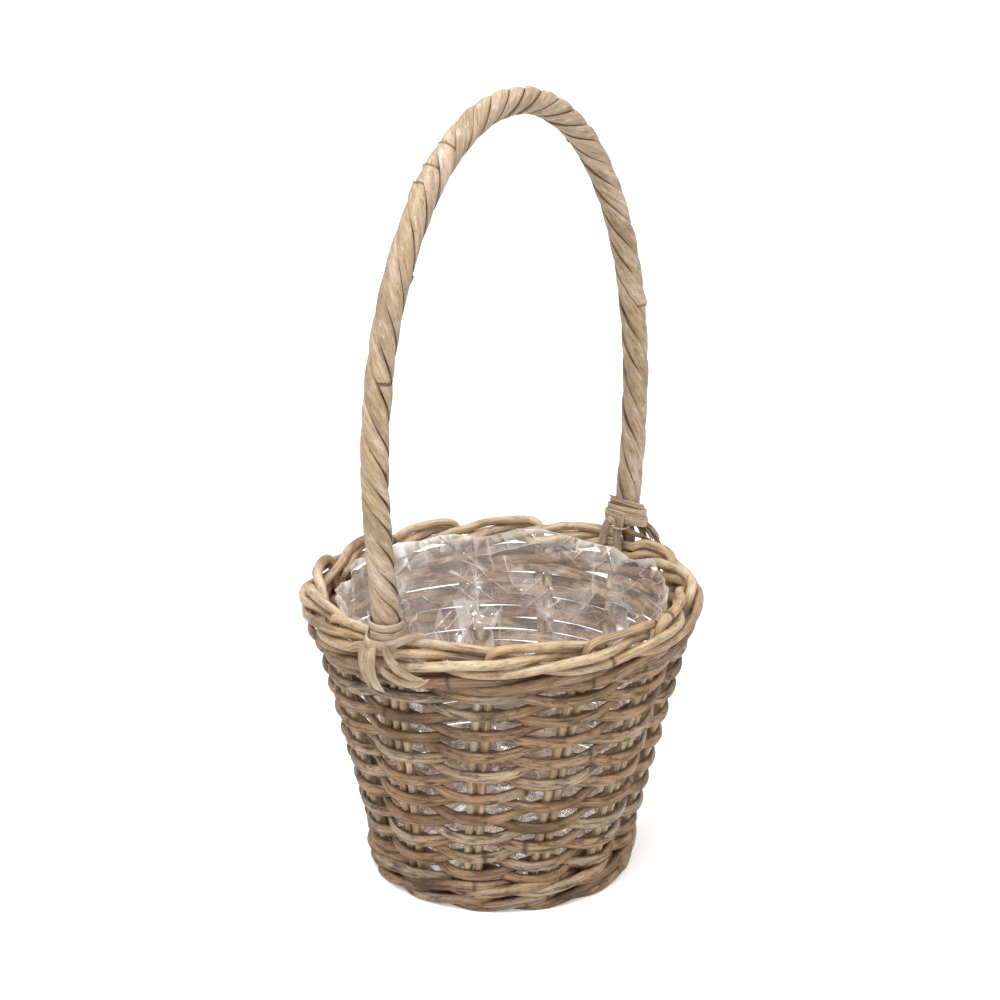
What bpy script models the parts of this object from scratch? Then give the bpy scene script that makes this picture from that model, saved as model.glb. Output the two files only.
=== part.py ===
"""Round rattan basket with a tall wrapped hoop handle and a clear film liner.

Metres, +Z up. The origin is the middle of the base on the ground, and the handle's two feet stand
towards -X and +X. Thirteen pairs of stakes carry the wall. One rod of each pair bends over at the
rim and is woven into the border, and the other is cut off below it.
"""

import math

import bmesh
import bpy
from mathutils import Vector
from mathutils.geometry import interpolate_bezier
from mathutils.kdtree import KDTree

# Body: the line that the middles of the stakes stand on
BODY_HEIGHT = 0.181
FOOT_RADIUS = 0.0705
SHOULDER_RADIUS = 0.1135
WALL_TWIST = math.radians(9)

# Stakes
STAKES = 13
RISER_PARTS = 4
STAKE_DIAMETER = 0.0053
PAIR_GAP = 0.0004
STAKE_LIFT = 0.0006
FEET_APART_STAKES = 6
FAR_STAKES_SHIFT = math.radians(4.5)
LEG_TO_PAIR = math.radians(2.8)
TAIL_TO_PAIR = math.radians(5.3)

# Clearances between strands that touch on the real basket
CLEARANCE = 0.0004
FIT = 0.0003
EDGE_MARGIN = 0.001

# Border: how far a bent stake lies from the next one, centre to centre
BORDER_PITCH = 0.0057

# Weavers: split cane, crown outwards
WEAVERS = 7
WEAVER_HEIGHT = 0.0061
WEAVER_THICKNESS = 0.003

# Wales: bands of three round strands
WALE_STRANDS = 3
TOP_WALE_DIAMETER = 0.0036
BASE_WALE_DIAMETER = 0.0042
WALE_LEVEL_GAP = 0.001
GROUND_CUT = 0.00042

# Woven base
BASE_STICKS = 6
BASE_STICK_DIAMETER = 0.0046
BASE_STICK_PITCH = 0.0052
BASE_SLACK = 0.0016
BASE_LEVEL = 0.0065
CROSS_REACH = 0.0125
FAN_REACH = 0.0205
BASE_WEAVERS = 2
BASE_TURNS = 2.5
BASE_WEAVE_START = 0.0235
BASE_STRIP_THICKNESS = 0.0022
BASE_STRIP_GAP = 0.0005

# Handle hoop, in its own upright plane: the arch springs above the body's top
HOOP_TOP = 0.4618
HOOP_SPRING_RISE = 0.094
HOOP_SPREAD = 0.003
HOOP_FOOT_INSET = 0.004
HOOP_FOOT_RISE = 0.006
HOOP_CORE_DIAMETER = 0.0094
TAIL_LENGTH = 0.0785
HOOP_POINTS = 34
HOOP_SAMPLES = 30

# Peel strips wound round the hoop
WRAPS = 4
WRAP_TURNS = 6
WRAP_RINGS_A_TURN = 8
WRAP_INNER_RADIUS = 0.0058
WRAP_EDGE_THICKNESS = 0.0016
WRAP_CROWN = 0.0004
WRAP_SEAM = 0.0006
WRAP_START_RISE = 0.0035

# Lashings at the handle's feet
COLLAR_TURNS = 2.4
COLLAR_HEIGHT = 0.0042
COLLAR_THICKNESS = 0.0014
COLLAR_START_RISE = 0.0055
COLLAR_SIDES = 10
STRAP_WIDTH = 0.009
STRAP_THICKNESS = 0.0014

# Film liner
LINER_THICKNESS = 0.0007
LINER_WALL_GAP = 0.0076
LINER_RIM_GAP = 0.0104
LINER_RIPPLE = 0.0012
LINER_FLOOR_GAP = 0.0006
LINER_FLOOR_INSET = 0.0018
LINER_TOP_DROP = 0.006
LINER_EDGE_WAVE = 0.003
LINER_SEGMENTS = 39
LINER_EDGE_WAVES = (5, 8)

# How many border pitches the lowest strand of the border lies below the highest
BORDER_DEPTH = 2.5

# Bent stake along the border: (steps past its own stake, side, drop). One step is the way to the
# next stake, side counts border pitches outwards from the stakes, drop counts them below the top.
BORDER_SHARES = (
    (0.00, 0.00, 0.95),
    (0.05, 0.00, 0.30),
    (0.18, -0.05, 0.00),
    (0.45, -0.35, 0.00),
    (0.70, -0.65, 0.15),
    (0.90, -1.03, 0.55),
    (1.08, -1.05, 0.82),
    (1.20, -0.95, 1.12),
    (1.45, 0.00, 2.00),
    (1.60, 0.35, 2.42),
    (1.82, 1.00, 2.50),
    (2.08, 1.06, 2.44),
    (2.30, 1.15, 2.15),
    (2.50, 1.20, 1.80),
    (2.78, 1.15, 1.40),
    (3.05, 1.04, 1.25),
    (3.25, 0.85, 1.00),
    (3.45, 0.10, 1.02),
    (3.65, -0.60, 1.25),
    (3.88, -1.05, 1.70),
    (4.10, -1.08, 1.92),
)
# Where a handle tail stands just before a stake, the strands reach that stake's side this much
# sooner: shares of a step, before and after.
CROWDED_FROM_SHARE = 0.5
CROWDED_AT_SHARE = 0.9
CROWDED_TO_SHARE = 0.66

# Half-round cane: shares of its thickness, outwards, and of its height, upwards
CANE_SHARES = ((-0.5, -0.5), (0.12, -0.45), (0.5, 0.0), (0.12, 0.45), (-0.5, 0.5))
FLAT_SHARES = ((-0.5, -0.5), (0.5, -0.5), (0.5, 0.5), (-0.5, 0.5))

# Strap over the border: shares of a border pitch, outwards from the stakes and below the top
STRAP_SHARES = ((0.2, -0.72), (1.2, -0.72), (1.75, -0.3), (1.84, 0.9), (1.84, 2.3), (1.62, 3.3),
                (1.3, 4.3))

STEP = math.tau / STAKES
STAKE_RADIUS = STAKE_DIAMETER / 2
FEET_SHIFT = FAR_STAKES_SHIFT * math.sin(FEET_APART_STAKES * STEP / 2) ** 2
HALF_FEET_ANGLE = (FEET_APART_STAKES * STEP + FEET_SHIFT) / 2
LEG_ANGLES = (-math.pi / 2 - HALF_FEET_ANGLE, -math.pi / 2 + HALF_FEET_ANGLE)
LEG_STAKES = (0, FEET_APART_STAKES)
WALL_LEAN = math.atan2(SHOULDER_RADIUS - FOOT_RADIUS, BODY_HEIGHT)
PAIR_HALF = (STAKE_DIAMETER + PAIR_GAP) / 2
PAIR_EDGE = PAIR_HALF + STAKE_RADIUS + EDGE_MARGIN
BORDER_TOP = BODY_HEIGHT - STAKE_RADIUS
BYE_STAKE_TOP = BORDER_TOP - BORDER_DEPTH * BORDER_PITCH - STAKE_RADIUS - CLEARANCE
TOP_WALE_BOTTOM = BYE_STAKE_TOP - 2 * TOP_WALE_DIAMETER - WALE_LEVEL_GAP - CLEARANCE
SECOND_BASE_WALE = 2 * BASE_WALE_DIAMETER + WALE_LEVEL_GAP + CLEARANCE - GROUND_CUT
BASE_WALE_TOP = SECOND_BASE_WALE + 2 * BASE_WALE_DIAMETER + WALE_LEVEL_GAP
WEAVE_BOTTOM = BASE_WALE_TOP + CLEARANCE + WEAVER_HEIGHT / 2
WEAVE_TOP = TOP_WALE_BOTTOM - CLEARANCE - WEAVER_HEIGHT / 2
ROW_PITCH = WEAVER_HEIGHT + CLEARANCE
BASE_RADIUS = FOOT_RADIUS - STAKE_RADIUS - CLEARANCE - BASE_WALE_DIAMETER - BASE_SLACK
LINER_FLOOR_RADIUS = BASE_RADIUS - LINER_FLOOR_INSET
WEAVER_STAKES = 2 * round((WEAVE_TOP - WEAVE_BOTTOM) / ROW_PITCH * STAKES / WEAVERS / 2)
WEAVE_TURNS = WEAVERS * WEAVER_STAKES / STAKES
HOOP_FOOT_RADIUS = SHOULDER_RADIUS - HOOP_FOOT_INSET
HOOP_FOOT_HEIGHT = BODY_HEIGHT + HOOP_FOOT_RISE
HOOP_SPRING_HEIGHT = BODY_HEIGHT + HOOP_SPRING_RISE
HOOP_HALF_SPAN = SHOULDER_RADIUS + HOOP_SPREAD
HOOP_OFFSET = HOOP_FOOT_RADIUS * math.cos(HALF_FEET_ANGLE)
TAIL_TOP_HEIGHT = BORDER_TOP
TAIL_END_HEIGHT = TAIL_TOP_HEIGHT - TAIL_LENGTH
HOOP_CORE_RADIUS = HOOP_CORE_DIAMETER / 2
WRAP_OUTER_RADIUS = WRAP_INNER_RADIUS + WRAP_EDGE_THICKNESS + WRAP_CROWN


def linear(code):
    """A colour given as sRGB hex, as the linear values that a shader takes."""
    values = [int(code[i:i + 2], 16) / 255 for i in (0, 2, 4)]
    return [v / 12.92 if v <= 0.04045 else ((v + 0.055) / 1.055) ** 2.4 for v in values]


def make_material(name, code, roughness, alpha=1.0):
    material = bpy.data.materials.new(name)
    material.use_nodes = True
    shader = material.node_tree.nodes["Principled BSDF"]
    shader.inputs["Base Color"].default_value = (*linear(code), 1)
    shader.inputs["Roughness"].default_value = roughness
    shader.inputs["Metallic"].default_value = 0
    shader.inputs["Alpha"].default_value = alpha
    return material


def clear_scene():
    for old in list(bpy.data.objects):
        bpy.data.objects.remove(old, do_unlink=True)
    basket = bpy.data.collections.new("rattan_basket")
    bpy.context.scene.collection.children.link(basket)
    return basket


def link(name, data, material):
    data.materials.append(material)
    piece = bpy.data.objects.new(name, data)
    BASKET.objects.link(piece)
    return piece


def add_rod(name, points, radius, material, sides=6, shares=None):
    """A round rod along the points. Shares, one for each point, thin it."""
    curve = bpy.data.curves.new(name, "CURVE")
    curve.dimensions = "3D"
    curve.bevel_depth = radius
    curve.bevel_resolution = sides // 2 - 2
    curve.use_fill_caps = True
    spline = curve.splines.new("POLY")
    spline.points.add(len(points) - 1)
    for i, (knot, point) in enumerate(zip(spline.points, points)):
        knot.co = (*point, 1)
        knot.radius = shares[i] if shares else 1
    spline.use_smooth = True
    return link(name, curve, material)


def mesh_of(piece):
    """The same piece as a mesh whose caps are welded on."""
    graph = bpy.context.evaluated_depsgraph_get()
    mesh = bpy.data.meshes.new_from_object(piece.evaluated_get(graph))
    name = piece.name
    curve = piece.data
    bpy.data.objects.remove(piece)
    bpy.data.curves.remove(curve)
    solid = bpy.data.objects.new(name, mesh)
    BASKET.objects.link(solid)
    work = bmesh.new()
    work.from_mesh(mesh)
    bmesh.ops.remove_doubles(work, verts=work.verts, dist=FIT / 10)
    work.to_mesh(mesh)
    work.free()
    return solid


def cut_level(piece, height):
    """Cuts away what lies below a height, and closes the piece with a level face."""
    mesh = piece.data
    work = bmesh.new()
    work.from_mesh(mesh)
    bmesh.ops.bisect_plane(work, geom=work.verts[:] + work.edges[:] + work.faces[:],
                           plane_co=(0, 0, height), plane_no=(0, 0, -1), clear_outer=True)
    open_edges = [edge for edge in work.edges if edge.is_boundary]
    bmesh.ops.holes_fill(work, edges=open_edges)
    work.to_mesh(mesh)
    work.free()


def add_loft(name, rings, material):
    """A strip whose section turns with its path: rings of points, joined in turn and closed."""
    work = bmesh.new()
    loops = [[work.verts.new(point) for point in ring] for ring in rings]
    for near, far in zip(loops, loops[1:]):
        for i in range(len(near)):
            j = (i + 1) % len(near)
            work.faces.new((near[i], near[j], far[j], far[i]))
    work.faces.new(loops[0])
    work.faces.new(loops[-1])
    bmesh.ops.recalc_face_normals(work, faces=work.faces)
    mesh = bpy.data.meshes.new(name)
    work.to_mesh(mesh)
    work.free()
    mesh.shade_smooth()
    mesh.set_sharp_from_angle(angle=math.radians(50))
    return link(name, mesh, material)


def tangents(points):
    last = len(points) - 1
    return [(points[min(i + 1, last)] - points[max(i - 1, 0)]).normalized()
            for i in range(len(points))]


def strip_rings(points, facings, outline, thickness, width):
    """Sections square to the path, each with its back turned away from its facing."""
    rings = []
    for point, along, facing in zip(points, tangents(points), facings):
        out = (facing - along * facing.dot(along)).normalized()
        up = out.cross(along)
        rings.append([point + out * u * thickness + up * v * width for u, v in outline])
    return rings


def radial(angle):
    return Vector((math.cos(angle), math.sin(angle), 0))


def wall_normal(angle):
    return radial(angle) * math.cos(WALL_LEAN) - Vector((0, 0, math.sin(WALL_LEAN)))


def stake_line(height):
    return FOOT_RADIUS + (SHOULDER_RADIUS - FOOT_RADIUS) * height / BODY_HEIGHT


def twist(height):
    """How far round the stakes lean at this height. They stand straight from the top wale up."""
    return -WALL_TWIST * max(0.0, 1 - height / TOP_WALE_BOTTOM)


def at_ring(angle, height, side=0.0):
    """A point at the stake line, moved level outwards by side."""
    return radial(angle + twist(height)) * (stake_line(height) + side) + Vector((0, 0, height))


def pair_angle(step):
    """The angle of the pair of stakes at this step, counted on past a full turn.

    The pairs on the side away from the first leg stand a little further round than even ones.
    """
    return LEG_ANGLES[0] + LEG_TO_PAIR + step * STEP + FAR_STAKES_SHIFT * math.sin(step * STEP / 2) ** 2


def rod_of_pair(step, height, side):
    """A point on one rod of a pair: side -1 is the bye-stake's, side 1 the stake's."""
    angle = pair_angle(step)
    sideways = radial(angle + twist(height) + math.pi / 2) * side * PAIR_HALF
    return at_ring(angle, height) + sideways


def riser(step, side):
    """The straight lower part of one rod of a pair, up to where the stakes stop leaning round."""
    rise = TOP_WALE_BOTTOM - STAKE_LIFT
    return [rod_of_pair(step, STAKE_LIFT + rise * i / RISER_PARTS, side) for i in range(RISER_PARTS + 1)]


def has_tail(step, height):
    """Whether a tail of the handle stands beside this pair at this height."""
    return step % STAKES in LEG_STAKES and height > TAIL_END_HEIGHT - 2 * WEAVER_HEIGHT


def span_angles(step, height):
    """The angles between which a strand runs straight past a pair, and past a tail beside it."""
    here = pair_angle(step)
    edge = PAIR_EDGE / stake_line(height)
    if not has_tail(step, height):
        return [here - edge, here + edge]
    first = here - TAIL_TO_PAIR - (STAKE_RADIUS + EDGE_MARGIN) / stake_line(height)
    return [first, (first + here + edge) / 2, here + edge]


def border_angle(step, share):
    """The angle of a bent stake that is share steps past its own stake."""
    whole = math.floor(share)
    part = share - whole
    if (step + whole + 1) % STAKES in LEG_STAKES and part > CROWDED_FROM_SHARE:
        if part < CROWDED_AT_SHARE:
            grown = (part - CROWDED_FROM_SHARE) / (CROWDED_AT_SHARE - CROWDED_FROM_SHARE)
            part = CROWDED_FROM_SHARE + grown * (CROWDED_TO_SHARE - CROWDED_FROM_SHARE)
        else:
            grown = (part - CROWDED_AT_SHARE) / (1 - CROWDED_AT_SHARE)
            part = CROWDED_TO_SHARE + grown * (1 - CROWDED_TO_SHARE)
    rim_shift = PAIR_HALF / stake_line(BORDER_TOP)
    return pair_angle(step + whole + part) + rim_shift


def make_stakes():
    """The stakes, each bent over into the border, and the bye-stakes beside them."""
    for step in range(STAKES):
        path = riser(step, 1)
        for share, side, drop in BORDER_SHARES:
            height = BORDER_TOP - drop * BORDER_PITCH
            path.append(at_ring(border_angle(step, share), height, side * BORDER_PITCH))
        add_rod(f"stake_{step + 1:02d}", path, STAKE_RADIUS, STAKE_CANE)
    for step in range(STAKES):
        path = riser(step, -1) + [rod_of_pair(step, BYE_STAKE_TOP, -1)]
        add_rod(f"bye_stake_{step + 1:02d}", path, STAKE_RADIUS, STAKE_CANE)


def weave_height(angle):
    """The height of the spiral of weavers at an angle counted on from its start."""
    turns = (angle - pair_angle(1)) / math.tau
    return WEAVE_BOTTOM + (WEAVE_TOP - WEAVE_BOTTOM) * turns / WEAVE_TURNS


def make_weavers():
    """The wall: one spiral in front of one pair and behind the next, in seven lengths of cane."""
    reach = STAKE_RADIUS + CLEARANCE + WEAVER_THICKNESS / 2
    for number in range(WEAVERS):
        first = 1 + number * WEAVER_STAKES
        last = first + WEAVER_STAKES
        points = []
        facings = []
        for step in range(first, last + 1):
            angles = span_angles(step, weave_height(pair_angle(step)))
            if step == first:
                angles = [pair_angle(step) + CLEARANCE / FOOT_RADIUS, angles[-1]]
            if step == last:
                angles = [angles[0], pair_angle(step) - CLEARANCE / FOOT_RADIUS]
            side = reach if step % 2 == 0 else -reach
            for angle in angles:
                height = weave_height(angle)
                normal = wall_normal(angle + twist(height))
                points.append(at_ring(angle, height) + normal * side)
                facings.append(normal)
        rings = strip_rings(points, facings, CANE_SHARES, WEAVER_THICKNESS, WEAVER_HEIGHT)
        add_loft(f"weaver_{number + 1}", rings, WEAVER_CANE)


def wale_path(first, last, low, high, radius):
    """A wale strand: behind one pair, then before two, low at the first and high at the second."""
    points = []
    for step in range(first, last + 1):
        turn = (step - first) % WALE_STRANDS
        angles = span_angles(step, low)
        side = STAKE_RADIUS + CLEARANCE + radius
        heights = [low if turn == 1 else high] * len(angles)
        if turn == 0:
            side = -side
            heights = [high + (low - high) * i / (len(angles) - 1) for i in range(len(angles))]
        if step == first:
            angles = [pair_angle(step) + EDGE_MARGIN / FOOT_RADIUS, angles[-1]]
            heights = [low, low]
        if step == last:
            angles = [angles[0], pair_angle(step) - EDGE_MARGIN / FOOT_RADIUS]
            heights = [high, high]
        points += [at_ring(angle, height, side) for angle, height in zip(angles, heights)]
    return points


def make_wale(name, start, bottom, diameter, material, ground=False):
    """Three strands that go round once, each starting one stake after the one before."""
    radius = diameter / 2
    low = bottom + radius
    high = low + diameter + WALE_LEVEL_GAP
    for strand in range(WALE_STRANDS):
        first = start + strand
        rounds = (STAKES + WALE_STRANDS - 1 - strand) // WALE_STRANDS * WALE_STRANDS
        path = wale_path(first, first + rounds, low, high, radius)
        piece = add_rod(f"{name}_{strand + 1}", path, radius, material)
        if ground:
            cut_level(mesh_of(piece), 0)


def make_wales():
    make_wale("base_wale_lower", 2, -GROUND_CUT, BASE_WALE_DIAMETER, BASE_CANE, ground=True)
    make_wale("base_wale_upper", 7, SECOND_BASE_WALE, BASE_WALE_DIAMETER, BASE_CANE)
    make_wale("top_wale", 10, TOP_WALE_BOTTOM, TOP_WALE_DIAMETER, DARK_CANE)


def make_base():
    """Three sticks crossed over three, fanned out, with two flat canes chasing each other."""
    half = BASE_STICKS // 2
    rise = (BASE_STICK_DIAMETER + CLEARANCE) / 2
    for stick in range(BASE_STICKS):
        layer = stick // half
        place = stick % half - 1
        turn = layer * math.pi / 2
        fan = place * math.pi / BASE_STICKS
        level = BASE_LEVEL + (rise if layer else -rise)
        along, across = radial(turn), radial(turn + math.pi / 2)
        path = []
        for end in (-1, 1):
            rim = along * math.cos(fan) * end + across * math.sin(fan)
            near = along * CROSS_REACH * end + across * BASE_STICK_PITCH * place
            spread = [rim * BASE_RADIUS + Vector((0, 0, BASE_LEVEL)),
                      rim * FAN_REACH + Vector((0, 0, BASE_LEVEL)),
                      near + Vector((0, 0, level))]
            path += spread if end < 0 else spread[::-1]
        add_rod(f"base_stick_{stick + 1}", path, BASE_STICK_DIAMETER / 2, BASE_CANE)
    spokes = 2 * BASE_STICKS
    pitch = (BASE_RADIUS - BASE_WEAVE_START) / (BASE_TURNS + 1 / BASE_WEAVERS)
    width = pitch / BASE_WEAVERS - BASE_STRIP_GAP
    reach = (BASE_STICK_DIAMETER + BASE_STRIP_THICKNESS) / 2 + CLEARANCE
    edge = BASE_STICK_DIAMETER / 2 + EDGE_MARGIN
    for number in range(BASE_WEAVERS):
        points = []
        for spoke in range(int(BASE_TURNS * spokes) + 1):
            side = 1 if (spoke + number) % 2 else -1
            for end in (-1, 1):
                angle = spoke * math.tau / spokes
                out = BASE_WEAVE_START + pitch * (angle / math.tau + number / BASE_WEAVERS)
                angle += end * edge / out
                points.append(radial(angle) * out + Vector((0, 0, BASE_LEVEL + side * reach)))
        facings = [Vector((0, 0, 1))] * len(points)
        rings = strip_rings(points, facings, FLAT_SHARES, BASE_STRIP_THICKNESS, width)
        add_loft(f"base_weaver_{number + 1}", rings, BASE_CANE)


def hoop_half(side):
    """The hoop's middle line from one foot to its top, side -1 towards -X and 1 towards +X."""
    def place(across, height):
        return Vector((side * across, -HOOP_OFFSET, height))
    round_off = 4 / 3 * (math.sqrt(2) - 1)
    foot_half = HOOP_FOOT_RADIUS * math.sin(HALF_FEET_ANGLE)
    rise = HOOP_TOP - HOOP_SPRING_HEIGHT
    drop = HOOP_SPRING_HEIGHT - HOOP_FOOT_HEIGHT
    foot = place(foot_half, HOOP_FOOT_HEIGHT)
    spring = place(HOOP_HALF_SPAN, HOOP_SPRING_HEIGHT)
    leg = interpolate_bezier(foot, place((foot_half + HOOP_HALF_SPAN) / 2, HOOP_FOOT_HEIGHT + drop / 3),
                             place(HOOP_HALF_SPAN, HOOP_SPRING_HEIGHT - drop / 3), spring, HOOP_SAMPLES)
    arch = interpolate_bezier(spring, place(HOOP_HALF_SPAN, HOOP_SPRING_HEIGHT + rise * round_off),
                              place(HOOP_HALF_SPAN * round_off, HOOP_TOP), place(0, HOOP_TOP),
                              2 * HOOP_SAMPLES)
    return leg + arch[1:]


def spaced(points, count):
    """The line through the points again, as evenly spaced points."""
    lengths = [0.0]
    for near, far in zip(points, points[1:]):
        lengths.append(lengths[-1] + (far - near).length)
    result = []
    at = 0
    for i in range(count):
        goal = lengths[-1] * i / (count - 1)
        while at < len(points) - 2 and lengths[at + 1] < goal:
            at += 1
        part = (goal - lengths[at]) / (lengths[at + 1] - lengths[at])
        result.append(points[at].lerp(points[at + 1], part))
    return result


def hoop_line():
    left, right = hoop_half(-1), hoop_half(1)
    return left + right[::-1][1:]


def tail_points(leg):
    """The scarfed end of the hoop, from its tip up along the wall beside a pair of stakes."""
    angle = pair_angle(LEG_STAKES[leg]) - TAIL_TO_PAIR
    return [at_ring(angle, height) for height in (TAIL_END_HEIGHT, TOP_WALE_BOTTOM, TAIL_TOP_HEIGHT)]


def make_hoop():
    middle = spaced(hoop_line(), HOOP_POINTS)
    left, right = tail_points(0), tail_points(1)
    thin = STAKE_DIAMETER / HOOP_CORE_DIAMETER
    end = [thin] * len(left) + [(1 + thin) / 2]
    shares = end + [1] * (HOOP_POINTS - 2) + end[::-1]
    path = left + middle + right[::-1]
    return add_rod("handle_hoop", path, HOOP_CORE_RADIUS, HOOP_CANE, sides=8, shares=shares)


def make_wraps():
    """Four peel strips laid side by side and wound round the hoop from foot to foot."""
    start = BODY_HEIGHT + WRAP_START_RISE
    line = [point for point in spaced(hoop_line(), 6 * len(hoop_line())) if point.z > start]
    line = spaced(line, WRAP_TURNS * WRAP_RINGS_A_TURN + 1)
    across = Vector((0, 1, 0))
    edge = WRAP_INNER_RADIUS + WRAP_EDGE_THICKNESS
    share = math.pi / WRAPS - WRAP_SEAM / WRAP_OUTER_RADIUS / 2
    outline = ((-share, WRAP_INNER_RADIUS), (-share, edge), (0, edge + WRAP_CROWN), (share, edge),
               (share, WRAP_INNER_RADIUS), (0, WRAP_INNER_RADIUS))
    strips = []
    for number in range(WRAPS):
        rings = []
        for i, (point, along) in enumerate(zip(line, tangents(line))):
            out = along.cross(across)
            lay = number * math.tau / WRAPS + i * math.tau / WRAP_RINGS_A_TURN
            rings.append([point + (out * math.cos(lay + a) + across * math.sin(lay + a)) * r
                          for a, r in outline])
        add_loft(f"handle_wrap_{number + 1}", rings, PEEL)
        strips.append(rings)
    print_least_gaps(strips)


def print_least_gaps(strips):
    """Prints how near a strip comes to its own next turns and to the strips beside it."""
    own = []
    between = []
    for number, rings in enumerate(strips):
        tree = KDTree(sum(len(ring) for ring in rings))
        for i, ring in enumerate(rings):
            for point in ring:
                tree.insert(point, i)
        tree.balance()
        for i, ring in enumerate(rings):
            for point in ring:
                own += [gap for _, j, gap in tree.find_range(point, HOOP_CORE_DIAMETER * 2)
                        if abs(i - j) >= WRAP_RINGS_A_TURN // 2]
        for other in strips[number + 1:]:
            between += [tree.find(point)[2] for ring in other for point in ring]
    clear = min(own, default=HOOP_CORE_DIAMETER * 2)
    print(f"handle wraps: least gap of a strip to itself {clear * 1000:.2f} mm, "
          f"between strips {min(between) * 1000:.2f} mm")


def make_lashings():
    """At each foot a strip wound round the handle, and a strap over the border below it."""
    for leg, side in enumerate(("left", "right")):
        half = hoop_half(-1 if leg == 0 else 1)
        count = round(COLLAR_TURNS * COLLAR_SIDES) + 1
        climb = (COLLAR_HEIGHT + FIT) / COLLAR_SIDES
        inner = WRAP_OUTER_RADIUS + FIT
        out_of = inner / math.cos(math.pi / COLLAR_SIDES) + COLLAR_THICKNESS / 2
        points = []
        facings = []
        for i in range(count):
            height = BODY_HEIGHT + COLLAR_START_RISE + i * climb
            middle = min(half, key=lambda point: abs(point.z - height))
            facing = radial(LEG_ANGLES[leg] + i * math.tau / COLLAR_SIDES)
            points.append(Vector((middle.x, middle.y, height)) + facing * out_of)
            facings.append(facing)
        rings = strip_rings(points, facings, FLAT_SHARES, COLLAR_THICKNESS, COLLAR_HEIGHT)
        add_loft(f"lashing_{side}_collar", rings, PEEL)
        angle = LEG_ANGLES[leg]
        path = [at_ring(angle, BORDER_TOP - drop * BORDER_PITCH, out * BORDER_PITCH)
                for out, drop in STRAP_SHARES]
        facings = [Vector((0, 0, 1)), radial(angle) + Vector((0, 0, 1))]
        facings += [radial(angle)] * (len(path) - len(facings))
        rings = strip_rings(path, facings, FLAT_SHARES, STRAP_THICKNESS, STRAP_WIDTH)
        add_loft(f"lashing_{side}_strap", rings, PEEL)


def make_liner():
    """An open cup of film that lies against the wall, with soft ripples and an uneven edge."""
    floor = BASE_LEVEL + BASE_STICK_DIAMETER / 2 + CLEARANCE + BASE_STRIP_THICKNESS + LINER_FLOOR_GAP
    wall_foot = floor + LINER_WALL_GAP
    below_wale = TOP_WALE_BOTTOM - CLEARANCE
    above_wale = below_wale + LINER_WALL_GAP
    top = BODY_HEIGHT - LINER_TOP_DROP
    outline = [(0, floor), (LINER_FLOOR_RADIUS, floor),
               (stake_line(wall_foot) - LINER_WALL_GAP, wall_foot),
               (stake_line(below_wale) - LINER_WALL_GAP, below_wale),
               (stake_line(above_wale) - LINER_RIM_GAP, above_wale),
               (stake_line(top) - LINER_RIM_GAP, top)]
    work = bmesh.new()
    verts = [work.verts.new((radius, 0, height)) for radius, height in outline]
    edges = [work.edges.new(pair) for pair in zip(verts, verts[1:])]
    bmesh.ops.spin(work, geom=verts + edges, cent=(0, 0, 0), axis=(0, 0, 1), angle=math.tau,
                   steps=LINER_SEGMENTS, use_merge=True)
    bmesh.ops.remove_doubles(work, verts=work.verts, dist=LINER_THICKNESS / 10)
    for vert in work.verts:
        angle = math.atan2(vert.co.y, vert.co.x)
        out = math.hypot(vert.co.x, vert.co.y)
        if out > LINER_FLOOR_RADIUS:
            ripple = (1 + math.sin(STAKES * angle)) / 2 * LINER_RIPPLE
            vert.co -= radial(angle) * ripple
        if vert.co.z > top - LINER_THICKNESS:
            few, many = LINER_EDGE_WAVES
            wave = math.sin(few * angle) + math.sin(many * angle + 1)
            vert.co.z += LINER_EDGE_WAVE * wave / 2
    bmesh.ops.recalc_face_normals(work, faces=work.faces)
    mesh = bpy.data.meshes.new("liner")
    work.to_mesh(mesh)
    work.free()
    mesh.shade_smooth()
    liner = link("liner", mesh, FILM)
    wall = liner.modifiers.new("film", "SOLIDIFY")
    wall.thickness = LINER_THICKNESS
    wall.offset = 0
    return liner


BASKET = clear_scene()
STAKE_CANE = make_material("stake cane, grey washed", "B79B74", 0.6)
WEAVER_CANE = make_material("split weaving cane", "96806A", 0.7)
DARK_CANE = make_material("brown wale cane", "6E5A45", 0.7)
BASE_CANE = make_material("base cane", "8D7A66", 0.75)
HOOP_CANE = make_material("hoop core cane", "8B7355", 0.7)
PEEL = make_material("cane peel", "B89C7C", 0.5)
FILM = make_material("clear film", "F2F4F4", 0.1, alpha=0.3)

make_stakes()
make_weavers()
make_wales()
make_base()
make_hoop()
make_wraps()
make_lashings()
make_liner()
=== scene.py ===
"""Rattan basket with a hoop handle and a film liner: its looks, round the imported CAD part.

Metres, in the CAD part's frame. Every cane follows the same lines as its CAD piece, with the
uneven widths, knots, splits and stains of the real ones.
"""

import math
import random

import bmesh
import bpy
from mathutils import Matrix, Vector, noise
from mathutils.geometry import interpolate_bezier


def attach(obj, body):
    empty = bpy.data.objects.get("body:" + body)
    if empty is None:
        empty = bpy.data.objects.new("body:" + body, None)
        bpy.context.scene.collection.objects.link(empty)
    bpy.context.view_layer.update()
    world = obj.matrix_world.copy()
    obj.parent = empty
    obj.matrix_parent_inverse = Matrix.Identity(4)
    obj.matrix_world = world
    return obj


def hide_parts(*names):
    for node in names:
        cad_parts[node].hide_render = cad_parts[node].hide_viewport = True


MM = 0.001

# Canes: the gap between the rings of points along one, and its knots
CANE_STEP = 2.6 * MM
KNOT_WIDTH = 1.6 * MM
SHARP_FROM = math.radians(50)

# Body: the line that the middles of the stakes stand on
BODY_HEIGHT = 181 * MM
FOOT_RADIUS = 70.5 * MM
SHOULDER_RADIUS = 113.5 * MM
WALL_TWIST = math.radians(9)

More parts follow.
